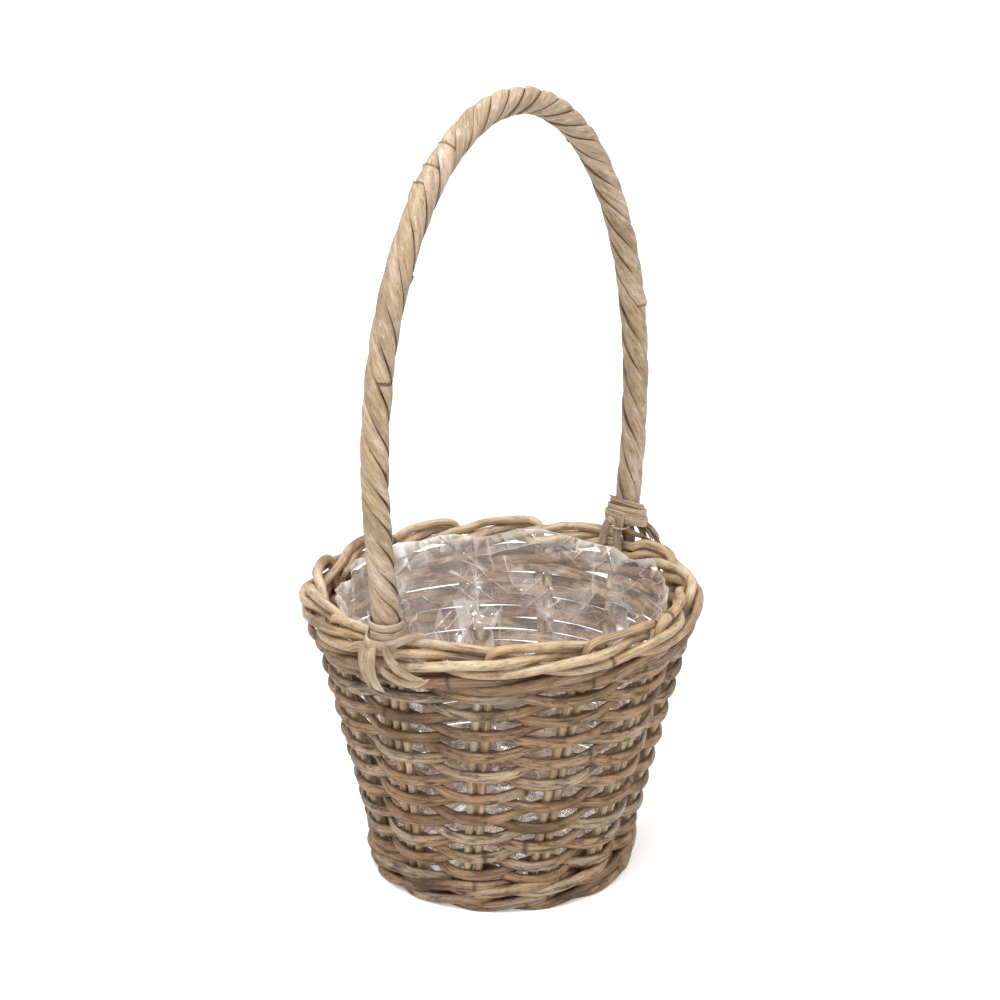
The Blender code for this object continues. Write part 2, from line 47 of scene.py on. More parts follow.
# Stakes and border
STAKES = 13
STAKE_RADIUS = 2.65 * MM
PAIR_HALF = 3.0 * MM
STAKE_FOOT = 0.6 * MM
FEET_APART_STAKES = 6
FAR_STAKES_SHIFT = math.radians(4.5)
LEG_TO_PAIR = math.radians(2.8)
TAIL_TO_PAIR = math.radians(5.3)
TAIL_ROOM = 2.6 * MM
BORDER_PITCH = 5.7 * MM
BORDER_DEPTH = 2.5
CLEARANCE = 0.4 * MM

# Wall
WEAVERS = 7
WEAVER_STAKES = 36
WEAVER_HEIGHT = 7.2 * MM
WEAVER_THICKNESS = 3.1 * MM
WEAVER_SWAY = 4.9 * MM
WEAVER_SAG = 1.0 * MM
WEAVE_SHARPNESS = 0.8
ROWS_MIDDLE = 85.6 * MM
ROW_PITCH = 7.4 * MM
ROW_PITCH_AT_ENDS = 5.6 * MM
TOP_GAP = 3.4 * MM
WALE_DIP = 2.6 * MM
ROW_START_SHARE = 0.07

# Wales
WALE_STRANDS = 3
TOP_WALE_RADIUS = 2.3 * MM
TOP_WALE_PITCH = 5.4 * MM
TOP_WALE_TALL = 1.5
BASE_WALE_RADIUS = 2.6 * MM
BASE_WALE_PITCH = 5.0 * MM
BASE_WALE_TALL = 1.2
GROUND_CUT = 0.42 * MM
BASE_WALE_ROUND = 9.38 * MM

# Base
BASE_STICKS = 6
BASE_STICK_RADIUS = 2.35 * MM
BASE_STICK_PITCH = 5.2 * MM
BASE_STICK_LENGTH = 130 * MM
BASE_RADIUS = 62.6 * MM
BASE_LEVEL = 6.5 * MM
CROSS_REACH = 12.5 * MM
FAN_REACH = 20.5 * MM
BASE_WEAVERS = 2
BASE_TURNS = 2.5
BASE_WEAVE_START = 23.5 * MM
BASE_STRIP_WIDTH = 6.1 * MM
BASE_STRIP_THICKNESS = 2.1 * MM

# Handle
HOOP_TOP = 461.8 * MM
HOOP_SPRING_HEIGHT = 275 * MM
HOOP_HALF_SPAN = 116.5 * MM
HOOP_FOOT_RADIUS = 109.5 * MM
HOOP_FOOT_HEIGHT = 187 * MM
HOOP_CORE_RADIUS = 4.7 * MM
TAIL_LENGTH = 78.5 * MM
WRAPS = 4
WRAP_START_HEIGHT = 184.5 * MM
WRAP_RADIUS = 7.05 * MM
WRAP_THICKNESS = 1.1 * MM
WRAP_CROWN = 0.75 * MM
WRAP_LIFT = 0.5 * MM
WRAP_SEAM = math.radians(3.4)
WRAP_STEP = 1.7 * MM
WRAP_JOINT_LIFT = 1.0 * MM
WRAP_JOINT_RISE = 20 * MM
WRAP_JOINT_GAP = 0.24 * MM

# How far a strip goes along the hoop in one turn (mm), by the share of the hoop from its left foot
WRAP_PITCHES = ((0.0, 62), (0.14, 68), (0.3, 92), (0.4, 68), (0.5, 52), (0.58, 66), (0.7, 86), (1.0, 92))

# Where a strip ends and the next one starts: share of the hoop, and the side of it (degrees)
WRAP_JOINTS = ((0.209, -105), (0.372, 15), (0.388, -40), (0.41, -20), (0.787, -115), (0.6, 120),
               (0.3, 150), (0.9, 60))

# Liner
LINER_FLOOR = 12.2 * MM
LINER_FLOOR_RADIUS = 60.5 * MM
LINER_FLOOR_FLAT = 0.9 * LINER_FLOOR_RADIUS
LINER_WALL_GAP = 7.8 * MM
LINER_RIM_GAP = 10.6 * MM
LINER_RIM_FROM = 152 * MM
LINER_RIM_RISE = 8 * MM
LINER_TOP = 175 * MM
FILM_FACETS = 56
FILM_ROWS = 11
FACET_SHIFT_SHARE = 0.42
FOLD_DEPTH = 8 * MM
PLEAT_DEPTH = 9 * MM
PLEATS_ROUND = 5.0
FACET_JUMPS = (1.3 * MM, 0.4 * MM, 0.1 * MM)
CREASE_ANGLE = math.radians(60)
FLOOR_CRUMPLE = 4 * MM
FLOOR_FACET = 11 * MM
FILM_CALM_BELOW = 60 * MM
FILM_LOOSE_ABOVE = 150 * MM
FILM_PATCH = 28 * MM

# Way towards the side where the film's haze is thicker, the picture's left
HAZIER_SIDE = (-0.647, 0.763, 0)

# Wrinkles in the film: tilt from level in the picture (degrees), length and gap between them (mm)
WRINKLES_TURN = math.radians(-50)
WRINKLE_DEPTH = 22 * MM
WRINKLES = ((38, 90, 9), (-42, 80, 8), (76, 90, 10), (-14, 90, 12))

# Height of the film's edge (mm) by the angle round the basket (degrees)
EDGE_HEIGHTS = ((-180, 172), (-158, 170), (-120, 172), (-95, 170), (-81, 173), (-62, 176), (-40, 171),
                (-29, 176), (-21, 179.5), (-15, 170), (-7, 174.5), (2, 172.6), (13, 174.5), (23, 176.5),
                (30, 179.5), (37, 175), (50, 172), (60, 174.5), (85, 174), (105, 174.5), (112, 169),
                (128, 171), (148, 178), (162, 174.5), (180, 172))

# Bent stake along the border: (steps past its own stake, side, drop), as in the CAD part
BORDER_SHARES = (
    (0.00, 0.00, 0.95),
    (0.05, 0.00, 0.30),
    (0.18, -0.05, 0.00),
    (0.45, -0.35, 0.00),
    (0.70, -0.65, 0.15),
    (0.90, -1.03, 0.55),
    (1.08, -1.05, 0.82),
    (1.20, -0.95, 1.12),
    (1.45, 0.00, 2.00),
    (1.60, 0.35, 2.42),
    (1.82, 1.00, 2.50),
    (2.08, 1.06, 2.44),
    (2.30, 1.15, 2.15),
    (2.50, 1.20, 1.80),
    (2.78, 1.15, 1.40),
    (3.05, 1.04, 1.25),
    (3.25, 0.85, 1.00),
    (3.45, 0.10, 1.02),
    (3.65, -0.60, 1.25),
    (3.88, -1.05, 1.70),
    (4.10, -1.08, 1.92),
)
CROWDED_FROM_SHARE = 0.5
CROWDED_AT_SHARE = 0.9
CROWDED_TO_SHARE = 0.66

# Camera: solved from the photograph's outlines
CAMERA_AZIMUTH = math.radians(-49.69)
CAMERA_ELEVATION = math.radians(18.07)
CAMERA_DISTANCE = 1396 * MM
CAMERA_AIM_HEIGHT = 227.8 * MM
CAMERA_AIM_SIDE = -0.73 * MM
CAMERA_LENS = 85.8
CAMERA_SENSOR = 36.0

# Studio: the surround's light, how far the floor is lifted to white near and far, and each lamp's
# azimuth and elevation (degrees), distance and size (metres) and power (watts)
WORLD_LIGHT = 0.42
FLOOR_HALF = 12
FLOOR_LIFT_NEAR = 0.35
FLOOR_LIFT_FAR = 0.75
LAMPS = (
    ("key", -78, 60, 1.6, 1.0, 20.5),
    ("fill", 25, 34, 1.8, 1.5, 7.8),
    ("back", 150, 60, 1.6, 1.2, 9),
    ("spark_1", -92, 44, 1.6, 0.16, 1.6),
    ("spark_2", -62, 30, 1.6, 0.12, 1.3),
    ("spark_3", -34, 62, 1.6, 0.12, 1.3),
    ("spark_4", -12, 40, 1.6, 0.12, 1.3),
    ("spark_5", 22, 56, 1.6, 0.12, 1.3),
    ("spark_6", 52, 38, 1.6, 0.12, 1.3),
)

# Cane texture: each noise's size across and along the cane (mm), its detail and its roughness
CANE_NOISES = {
    "drift": (40, 60, 2, 0.5),
    "streak": (1.5, 45, 2, 0.5),
    "grain": (0.8, 11, 3, 0.65),
    "stain": (3.5, 12, 4, 0.7),
    "speck": (1.0, 2.4, 1, 0.5),
    "crack": (2.4, 26, 1, 0.5),
}
SPECK_TONE = "3A2A1D"
CRACK_TONE = "4A3626"
# Dark rings at the knots; on the handle's strips the same colour is a painted shade across each joint,
# where one strip's end steps down to the next
KNOT_AND_JOINT_SHADE_TONE = "43301F"
# How much brighter the flat inside of a split cane is: its paler core, and painted light for the basket's
# dim inside
INSIDE_PALE_AND_LIGHT_GAIN = (1.35, 1.32, 1.28, 1)

# Worked out from the sizes above
STEP = math.tau / STAKES
FEET_SHIFT = FAR_STAKES_SHIFT * math.sin(FEET_APART_STAKES * STEP / 2) ** 2
HALF_FEET_ANGLE = (FEET_APART_STAKES * STEP + FEET_SHIFT) / 2
LEG_ANGLES = (-math.pi / 2 - HALF_FEET_ANGLE, -math.pi / 2 + HALF_FEET_ANGLE)
LEG_STAKES = (0, FEET_APART_STAKES)
WALL_LEAN = math.atan2(SHOULDER_RADIUS - FOOT_RADIUS, BODY_HEIGHT)
BORDER_TOP = BODY_HEIGHT - STAKE_RADIUS
BYE_STAKE_TOP = BORDER_TOP - BORDER_DEPTH * BORDER_PITCH - STAKE_RADIUS
TOP_WALE_BOTTOM = 152.4 * MM
WEAVE_TURNS = WEAVERS * WEAVER_STAKES / STAKES
WEAVE_END = 1 + WEAVERS * WEAVER_STAKES
HOOP_OFFSET = HOOP_FOOT_RADIUS * math.cos(HALF_FEET_ANGLE)
TAIL_END_HEIGHT = BORDER_TOP - TAIL_LENGTH
UP = Vector((0, 0, 1))


# Shapes shared by the canes


def wobble(place, seed, wavelength):
    """A smooth value from about -1 to 1 that drifts along a cane, the same on every run."""
    return noise.noise(Vector((place / wavelength, seed * 7.31, seed * 1.7))) * 1.6


def radial(angle):
    """Straight out from the basket's middle, level, at this angle round it."""
    return Vector((math.cos(angle), math.sin(angle), 0))


def wall_normal(angle):
    """Square out from the wall, which leans outwards."""
    return radial(angle) * math.cos(WALL_LEAN) - UP * math.sin(WALL_LEAN)


def stake_line(height):
    """How far the stakes stand from the basket's middle at this height."""
    return FOOT_RADIUS + (SHOULDER_RADIUS - FOOT_RADIUS) * height / BODY_HEIGHT


def twist(height):
    """How far round the stakes lean at this height. They stand straight from the top wale up."""
    return -WALL_TWIST * max(0.0, 1 - height / TOP_WALE_BOTTOM)


def at_ring(angle, height, side=0.0):
    """A point on the stakes' line, or this far outside it."""
    return radial(angle + twist(height)) * (stake_line(height) + side) + UP * height


def pair_angle(step):
    """Where a pair of stakes stands at the border. Those far from the feet sit further round."""
    return LEG_ANGLES[0] + LEG_TO_PAIR + step * STEP + FAR_STAKES_SHIFT * math.sin(step * STEP / 2) ** 2


def through(points, pieces):
    """A smooth line through the points, with this many pieces between each two."""
    line = []
    last = len(points) - 1
    for i in range(last):
        before, after = points[max(i - 1, 0)], points[min(i + 2, last)]
        here, there = points[i], points[i + 1]
        line += interpolate_bezier(here, here + (there - before) / 6,
                                   there - (after - here) / 6, there, pieces + 1)[:-1]
    return line + [points[last]]


def spaced(points, gap):
    """The line through the points again, as points an even gap apart."""
    lengths = distances(points)
    count = max(2, round(lengths[-1] / gap) + 1)
    line = []
    at = 0
    for i in range(count):
        goal = lengths[-1] * i / (count - 1)
        while at < len(points) - 2 and lengths[at + 1] < goal:
            at += 1
        part = (goal - lengths[at]) / max(lengths[at + 1] - lengths[at], 1e-9)
        line.append(points[at].lerp(points[at + 1], part))
    return line


def distances(points):
    """How far along the line each point is."""
    lengths = [0.0]
    for near, far in zip(points, points[1:]):
        lengths.append(lengths[-1] + (far - near).length)
    return lengths


def tangents(points):
    last = len(points) - 1
    return [(points[min(i + 1, last)] - points[max(i - 1, 0)]).normalized()
            for i in range(len(points))]


def new_work():
    """A bmesh whose points carry the straightened cane's coordinates and its finish."""
    work = bmesh.new()
    work.verts.layers.float_vector.new("straight")
    work.verts.layers.float_vector.new("finish")
    return work


def lay_cane(work, path, facings, shape, seed, cut=0.0):
    """Adds one cane. shape(share, place) gives a ring of (outward, upward, edge) and a knot value.

    straight holds the point's place in the cane as if it lay straight, and finish holds how near
    it is to a knot, how near to the cane's edge, and the cane's own tone.
    """
    straight = work.verts.layers.float_vector["straight"]
    finish = work.verts.layers.float_vector["finish"]
    lengths = distances(path)
    rings = [shape(length / lengths[-1], length) for length in lengths]
    around = len(rings[0][0])
    old = set(work.verts)
    bmesh.ops.create_grid(work, x_segments=around, y_segments=len(path) - 1, size=1)
    verts = sorted((vert for vert in work.verts if vert not in old),
                   key=lambda vert: (round(vert.co.y, 5), round(vert.co.x, 5)))
    tone = random.Random(seed * 31 + 5).random()
    seams = {}
    for i, (point, along, facing) in enumerate(zip(path, tangents(path), facings)):
        out = (facing - along * facing.dot(along)).normalized()
        up = out.cross(along)
        section, knot = rings[i]
        row = verts[i * (around + 1):(i + 1) * (around + 1)]
        slant = cut if i in (0, len(path) - 1) else 0.0
        for vert, (across, rise, edge) in zip(row, section + section[:1]):
            vert.co = point + out * across + up * rise + along * rise * slant
            vert[straight] = (across + seed * 0.37, rise, lengths[i])
            vert[finish] = (knot, edge, tone)
        seams[row[-1]] = row[0]
    faces = {face for vert in verts for face in vert.link_faces}
    bmesh.ops.weld_verts(work, targetmap=seams)
    ends = [edge for face in faces if face.is_valid for edge in face.edges if edge.is_boundary]
    bmesh.ops.holes_fill(work, edges=list(set(ends)))


def keep_above(work, level):
    """Flattens what reaches below the level, as canes are worn or cut flat there."""
    for vert in work.verts:
        vert.co.z = max(vert.co.z, level)


def add_object(name, data):
    """Adds an object that shows this data to the scene."""
    body = bpy.data.objects.new(name, data)
    bpy.context.scene.collection.objects.link(body)
    return body


def finish_piece(work, node, ending, material, slot, sharp=True):
    """Makes the bmesh a piece of the basket that stands for its CAD node, and is named after it."""
    bmesh.ops.recalc_face_normals(work, faces=work.faces)
    mesh = bpy.data.meshes.new(f"{node}_{ending}")
    work.to_mesh(mesh)
    work.free()
    mesh.shade_smooth()
    if sharp:
        mesh.set_sharp_from_angle(angle=SHARP_FROM)
    mesh.materials.append(material)
    piece = add_object(mesh.name, mesh)
    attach(piece, "root")
    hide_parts(node)
    return piece


def knots_on(seed, length, spacing):
    """Where the cane's knots are, by distance along it."""
    draw = random.Random(seed * 17 + 3)
    places = []
    place = spacing * draw.uniform(0.15, 1.0)
    while place < length:
        places.append(place)
        place += spacing * draw.uniform(0.7, 1.3)
    return places


def knot_at(place, knots, width):
    """1 on a knot, falling to 0 over about its width."""
    return max((math.exp(-(((place - knot) / width) ** 2)) for knot in knots), default=0.0)


def round_cane(radius, seed, length, sides=12, spacing=170 * MM, taper=None, slice_length=0.0, tall=1.0):
    """A round cane, a little uneven, with swollen knots. A slice is the long slanting cut at its end."""
    knots = knots_on(seed, length, spacing)

    def shape(share, place):
        knot = knot_at(place, knots, KNOT_WIDTH)
        swell = knot_at(place, knots, 5 * MM)
        size = radius * (1 + 0.06 * wobble(place, seed, 35 * MM) + 0.08 * swell - 0.05 * knot)
        if taper:
            size *= taper(share)
        left = (length - place) / slice_length if slice_length else 1.0
        flat = size if left >= 1 else size * (2 * left - 0.75)
        ring = []
        for i in range(sides):
            angle = i * math.tau / sides
            own = size * (1 + 0.04 * wobble(place, seed + i, 22 * MM))
            across = own * math.cos(angle)
            ring.append((min(across, flat), own * tall * math.sin(angle), 1.0 if across > flat else 0.0))
        return ring, knot

    return shape


def half_round_cane(height, thickness, seed, length, sides=9, spacing=260 * MM):
    """A split cane: flat inside (edge -1), where it is paler and brightened by painted light, crowned
    outside.
    """
    knots = knots_on(seed, length, spacing)

    def shape(share, place):
        knot = knot_at(place, knots, KNOT_WIDTH)
        swell = knot_at(place, knots, 6 * MM)
        tall = height * (1 + 0.08 * wobble(place, seed, 70 * MM) + 0.07 * swell)
        deep = thickness * (1 + 0.08 * wobble(place, seed + 40, 60 * MM))
        groove = 0.07 * max(0.0, wobble(place, seed + 80, 90 * MM))
        ring = []
        for i in range(sides):
            angle = math.pi * (i / (sides - 1) - 0.5)
            crown = math.cos(angle) ** 0.8 if abs(angle) < 1.57 else 0.0
            crown -= groove * math.exp(-((i - sides * 0.4) ** 2))
            ring.append((deep * (crown - 0.5), tall / 2 * math.sin(angle), abs(math.sin(angle)) ** 3.5))
        ring.append((-deep * 0.55, 0.0, -1.0))
        return ring, knot

    return shape


def flat_cane(width, thickness, seed, tips=(0.0, 0.0), length=1.0):
    """A flat strip of peel, slightly crowned. Tips are the lengths that its ends taper over."""

    def shape(share, place):
        wide = width * (1 + 0.06 * wobble(place, seed, 25 * MM))
        for tip, reach in zip(tips, (place, length - place)):
            if tip:
                wide *= 0.15 + 0.85 * min(1.0, max(0.0, reach / tip)) ** 0.7
        ring = []
        for across, edge in ((-0.5, 1.0), (-0.44, 0.6), (-0.2, 0.1), (0.0, 0.0), (0.2, 0.1),
                             (0.44, 0.6), (0.5, 1.0)):
            crown = 0.5 - 0.55 * (2 * abs(across)) ** 3
            ring.append((thickness * crown, wide * across, edge))
        ring += [(-thickness * 0.5, wide * 0.42, 0.5), (-thickness * 0.5, -wide * 0.42, 0.5)]
        return ring, 0.0

    return shape


# Stakes, border, wall, wales and base


def border_angle(step, share):
    """Where a bent stake is, by steps past its own. The leg crowds those that pass it."""
    whole = math.floor(share)
    part = share - whole
    if (step + whole + 1) % STAKES in LEG_STAKES and part > CROWDED_FROM_SHARE:
        if part < CROWDED_AT_SHARE:
            grown = (part - CROWDED_FROM_SHARE) / (CROWDED_AT_SHARE - CROWDED_FROM_SHARE)
            part = CROWDED_FROM_SHARE + grown * (CROWDED_TO_SHARE - CROWDED_FROM_SHARE)
        else:
            grown = (part - CROWDED_AT_SHARE) / (1 - CROWDED_AT_SHARE)
            part = CROWDED_TO_SHARE + grown * (1 - CROWDED_TO_SHARE)
    return pair_angle(step + whole + part) + PAIR_HALF / stake_line(BORDER_TOP)


def rod_of_pair(step, height, side):
    """A rod's middle: the stake with side 1, the bye-stake with -1."""
    angle = pair_angle(step)
    lean = wobble(height, step * 2 + side, 90 * MM) * 0.45 * MM
    sideways = radial(angle + twist(height) + math.pi / 2)
    return at_ring(angle, height) + sideways * (side * PAIR_HALF + lean)


def make_stakes():
    """Stakes that bend over into the border, each with a straight bye-stake beside it."""
    riser_top = BORDER_TOP - BORDER_SHARES[0][2] * BORDER_PITCH
    for step in range(STAKES):
        seed = 100 + step
        draw = random.Random(seed)
        heights = [STAKE_FOOT + (riser_top - STAKE_FOOT) * i / 16 for i in range(16)]
        path = [rod_of_pair(step, height, 1) for height in heights]
        for share, side, drop in through([Vector(row) for row in BORDER_SHARES], 5):
            loose = min(1.0, share / 0.4)
            side += loose * 0.09 * wobble(share, seed, 1.1)
            drop += loose * 0.1 * wobble(share, seed + 50, 0.9)
            height = BORDER_TOP - drop * BORDER_PITCH
            path.append(at_ring(border_angle(step, share), height, side * BORDER_PITCH))
        path = spaced(path, CANE_STEP)
        length = distances(path)[-1]
        radius = STAKE_RADIUS * draw.uniform(0.95, 1.1)
        facings = [Vector((point.x, point.y, 0)) + UP * 0.02 for point in path]
        work = new_work()
        shape = round_cane(radius, seed, length, slice_length=draw.uniform(9, 16) * MM)
        lay_cane(work, path, facings, shape, seed, cut=0.8)
        keep_above(work, STAKE_FOOT)
        finish_piece(work, f"stake_{step + 1:02d}", "cane", STAKE_CANE, "stake_cane")
    for step in range(STAKES):
        seed = 130 + step
        heights = [STAKE_FOOT + (BYE_STAKE_TOP - STAKE_FOOT) * i / 20 for i in range(21)]
        path = [rod_of_pair(step, height, -1) for height in heights]
        facings = [radial(pair_angle(step))] * len(path)
        work = new_work()
        lay_cane(work, path, facings, round_cane(STAKE_RADIUS, seed, BODY_HEIGHT), seed, cut=0.5)
        keep_above(work, STAKE_FOOT)
        finish_piece(work, f"bye_stake_{step + 1:02d}", "cane", STAKE_CANE, "stake_cane")


def has_tail(step, height):
    """Whether the handle's tail stands beside this pair at this height."""
    return step % STAKES in LEG_STAKES and height > TAIL_END_HEIGHT - WEAVER_HEIGHT


def row_height(turns):
    """The height of the spiral. Its rows are beaten closer towards the wales."""
    share = turns / WEAVE_TURNS - 0.5
    closing = (ROW_PITCH - ROW_PITCH_AT_ENDS) * 4 / 3 * WEAVE_TURNS * share ** 3
    lapping = 2.5 * MM * max(0.0, 1 - turns) - 1.0 * MM * max(0.0, turns - WEAVE_TURNS + 1)
    rows_over = max(0, math.ceil(WEAVE_TURNS - turns) - 1)
    past = rows_over + 1 - (WEAVE_TURNS - turns)
    spread = TOP_GAP * (1 - past) * min(1.0, past / ROW_START_SHARE) * math.exp(-rows_over / 2.5)
    return ROWS_MIDDLE + ROW_PITCH * WEAVE_TURNS * share - closing + lapping + spread


def weave_side(place):
    """From 1 in front of a pair to -1 behind the next, for a place counted in stakes."""
    swing = math.cos(math.pi * place)
    return math.tanh(WEAVE_SHARPNESS * swing) / math.tanh(WEAVE_SHARPNESS)


def make_weavers():
    """The wall: one spiral of split cane, in front of one pair and behind the next."""
    per_step = 11
    for number in range(WEAVERS):
        seed = 200 + number
        first = 1 + number * WEAVER_STAKES
        path = []
        facings = []
        for i in range(WEAVER_STAKES * per_step + 1):
            place = first + i / per_step
            height = row_height((place - 1) / STAKES) - WEAVER_SAG * math.cos(math.pi * place)
            height += 0.7 * MM * wobble(place, seed, 2.3) + 0.35 * MM * wobble(place, seed + 9, 0.8)
            shift = 0.0
            near = round(place)
            if has_tail(near, height):
                shift = -TAIL_ROOM / stake_line(height) * math.exp(-(((place - near) / 0.3) ** 2))
            side = WEAVER_SWAY * weave_side(place) * (1 + 0.06 * wobble(place, seed + 4, 1.7))
            angle = pair_angle(place) + shift
            normal = wall_normal(angle + twist(height))
            roll = 0.2 * wobble(place, seed + 20, 1.3)
            path.append(at_ring(angle, height) + normal * side)
            facings.append(normal + UP * roll)
        length = distances(path)[-1]
        work = new_work()
        shape = half_round_cane(WEAVER_HEIGHT, WEAVER_THICKNESS, seed, length)
        lay_cane(work, path, facings, shape, seed)
        finish_piece(work, f"weaver_{number + 1}", "cane", WEAVER_CANE, "weaver_cane")


def wale_point(first, place, low, high, radius):
    """A wale strand's height and side: behind one pair, then low and high before two."""
    turn = (place - first) % WALE_STRANDS
    reach = STAKE_RADIUS + CLEARANCE + radius
    knots = ((0, -reach, (low + high) / 2), (0.5, 0, low), (1, reach, low), (2, reach, high),
             (2.5, 0, high), (3, -reach, (low + high) / 2))
    for (start, side, level), (end, next_side, next_level) in zip(knots, knots[1:]):
        if turn <= end:
            part = (turn - start) / (end - start)
            ease = part * part * (3 - 2 * part)
            bow = math.sin(math.pi * part) * 0.5 * MM if side == next_side else 0.0
            return level + (next_level - level) * ease, side + (next_side - side) * part + bow
    return high, reach


def make_wale(name, start, bottom, radius, pitch, material, slot, seed, tall, ground=False):
    low = bottom + radius
    high = low + pitch
    per_step = 12
    for strand in range(WALE_STRANDS):
        first = start + strand
        rounds = (STAKES + WALE_STRANDS - 1 - strand) // WALE_STRANDS * WALE_STRANDS
        own = seed + strand
        path = []
        for i in range(rounds * per_step + 1):
            place = first + i / per_step
            past = ((place - WEAVE_END) % STAKES) / STAKES
            dip = 0.0
            if bottom > BODY_HEIGHT / 2:
                dip = WALE_DIP * (1 - past) * min(1.0, past / ROW_START_SHARE)
            height, side = wale_point(first, place, low - dip, high - dip * 0.3, radius)
            loose = 0.0 if ground and height < low + MM else 0.35 * MM
            height += loose * wobble(place, own, 1.2)
            side += 0.4 * MM * wobble(place, own + 7, 1.4)
            path.append(at_ring(pair_angle(place), height, side))
        path = spaced(through(path[::3], 3), CANE_STEP)
        facings = [Vector((point.x, point.y, 0)) for point in path]
        shape = round_cane(radius, own, distances(path)[-1], spacing=120 * MM, tall=tall)
        work = new_work()
        lay_cane(work, path, facings, shape, own, cut=1.0)
        if ground:
            keep_above(work, 0.0)
        finish_piece(work, f"{name}_{strand + 1}", "cane", material, slot)


def make_wales():
    """Two rounds of waling round the foot, and one above the weavers."""
    base = (BASE_WALE_RADIUS, BASE_WALE_PITCH, WEAVER_CANE, "base_cane")
    make_wale("base_wale_lower", 2, -GROUND_CUT, *base, 300, BASE_WALE_TALL, ground=True)
    make_wale("base_wale_upper", 7, BASE_WALE_ROUND, *base, 310, BASE_WALE_TALL)
    make_wale("top_wale", 10, TOP_WALE_BOTTOM, TOP_WALE_RADIUS, TOP_WALE_PITCH, WALE_CANE,
              "wale_cane", 320, TOP_WALE_TALL)


def make_base():
    """The slath: three sticks over three, fanned out, with two flat strips woven round."""
    half = BASE_STICKS // 2
    rise = BASE_STICK_RADIUS + CLEARANCE / 2
    for stick in range(BASE_STICKS):
        layer = stick // half
        place = stick % half - 1
        turn = layer * math.pi / 2
        fan = place * math.pi / BASE_STICKS
        level = BASE_LEVEL + (rise if layer else -rise)
        along, across = radial(turn), radial(turn + math.pi / 2)
        path = []
        for end in (-1, 1):
            rim = along * math.cos(fan) * end + across * math.sin(fan)
            near = along * CROSS_REACH * end + across * BASE_STICK_PITCH * place
            spread = [rim * BASE_RADIUS + UP * BASE_LEVEL,
                      rim * (BASE_RADIUS + FAN_REACH) / 2 + UP * BASE_LEVEL,
                      rim * FAN_REACH + UP * BASE_LEVEL, near + UP * level]
            path += spread if end < 0 else spread[::-1]
        path = spaced(through(path, 6), 3 * MM)
        seed = 340 + stick
        work = new_work()
        lay_cane(work, path, [UP] * len(path), round_cane(BASE_STICK_RADIUS, seed, BASE_STICK_LENGTH), seed)
        finish_piece(work, f"base_stick_{stick + 1}", "cane", STAKE_CANE, "base_cane")
    spokes = 2 * BASE_STICKS
    pitch = (BASE_RADIUS - BASE_WEAVE_START) / (BASE_TURNS + 1 / BASE_WEAVERS)
    reach = BASE_STICK_RADIUS + BASE_STRIP_THICKNESS / 2 + CLEARANCE
    per_spoke = 10
    for number in range(BASE_WEAVERS):
        seed = 350 + number
        path = []
        for i in range(int(BASE_TURNS * spokes) * per_spoke + 1):
            place = i / per_spoke
            angle = place * math.tau / spokes
            out = BASE_WEAVE_START + pitch * (angle / math.tau + number / BASE_WEAVERS)
            side = -weave_side(place + number) * reach
            path.append(radial(angle) * out + UP * (BASE_LEVEL + side))
        work = new_work()
        shape = flat_cane(BASE_STRIP_WIDTH, BASE_STRIP_THICKNESS, seed)
        lay_cane(work, path, [UP] * len(path), shape, seed)
        finish_piece(work, f"base_weaver_{number + 1}", "cane", WEAVER_CANE, "base_cane")


# Handle


def hoop_half(side):
    """The hoop's line from a foot, side -1 or 1, up to its top."""

    def place(across, height):
        return Vector((side * across, -HOOP_OFFSET, height))

    round_off = 4 / 3 * (math.sqrt(2) - 1)
    foot_half = HOOP_FOOT_RADIUS * math.sin(HALF_FEET_ANGLE)
    rise = HOOP_TOP - HOOP_SPRING_HEIGHT
    drop = HOOP_SPRING_HEIGHT - HOOP_FOOT_HEIGHT
    foot = place(foot_half, HOOP_FOOT_HEIGHT)
    spring = place(HOOP_HALF_SPAN, HOOP_SPRING_HEIGHT)
    leg = interpolate_bezier(foot, place((foot_half + HOOP_HALF_SPAN) / 2, HOOP_FOOT_HEIGHT + drop / 3),
                             place(HOOP_HALF_SPAN, HOOP_SPRING_HEIGHT - drop / 3), spring, 30)
    arch = interpolate_bezier(spring, place(HOOP_HALF_SPAN, HOOP_SPRING_HEIGHT + rise * round_off),
                              place(HOOP_HALF_SPAN * round_off, HOOP_TOP), place(0, HOOP_TOP), 90)
    return leg + arch[1:]


def hoop_line():
    left, right = hoop_half(-1), hoop_half(1)
    return left + right[::-1][1:]


def tail_points(leg):
    """The hoop's end beside a pair of stakes, from its tip up to the border."""
    angle = pair_angle(LEG_STAKES[leg]) - TAIL_TO_PAIR
    count = 8
    return [at_ring(angle, TAIL_END_HEIGHT + (BORDER_TOP - TAIL_END_HEIGHT) * i / count)
            for i in range(count)]


def make_hoop():
    """The handle's core. Its thinned tails run down beside two pairs of stakes."""
    middle = spaced(hoop_line(), 6 * MM)
    path = tail_points(0) + middle + tail_points(1)[::-1]
    length = distances(path)[-1]
    thin = STAKE_RADIUS / HOOP_CORE_RADIUS

    def taper(share):
        reach = min(share, 1 - share) * length
        grown = min(1.0, max(0.0, (reach - TAIL_LENGTH + 4 * MM) / (12 * MM)))
        return thin + (1 - thin) * grown

    facings = [Vector((0, -1, 0))] * len(path)
    work = new_work()
    lay_cane(work, path, facings, round_cane(HOOP_CORE_RADIUS, 400, length, taper=taper), 400)
    finish_piece(work, "handle_hoop", "core", HOOP_CANE, "hoop_cane")


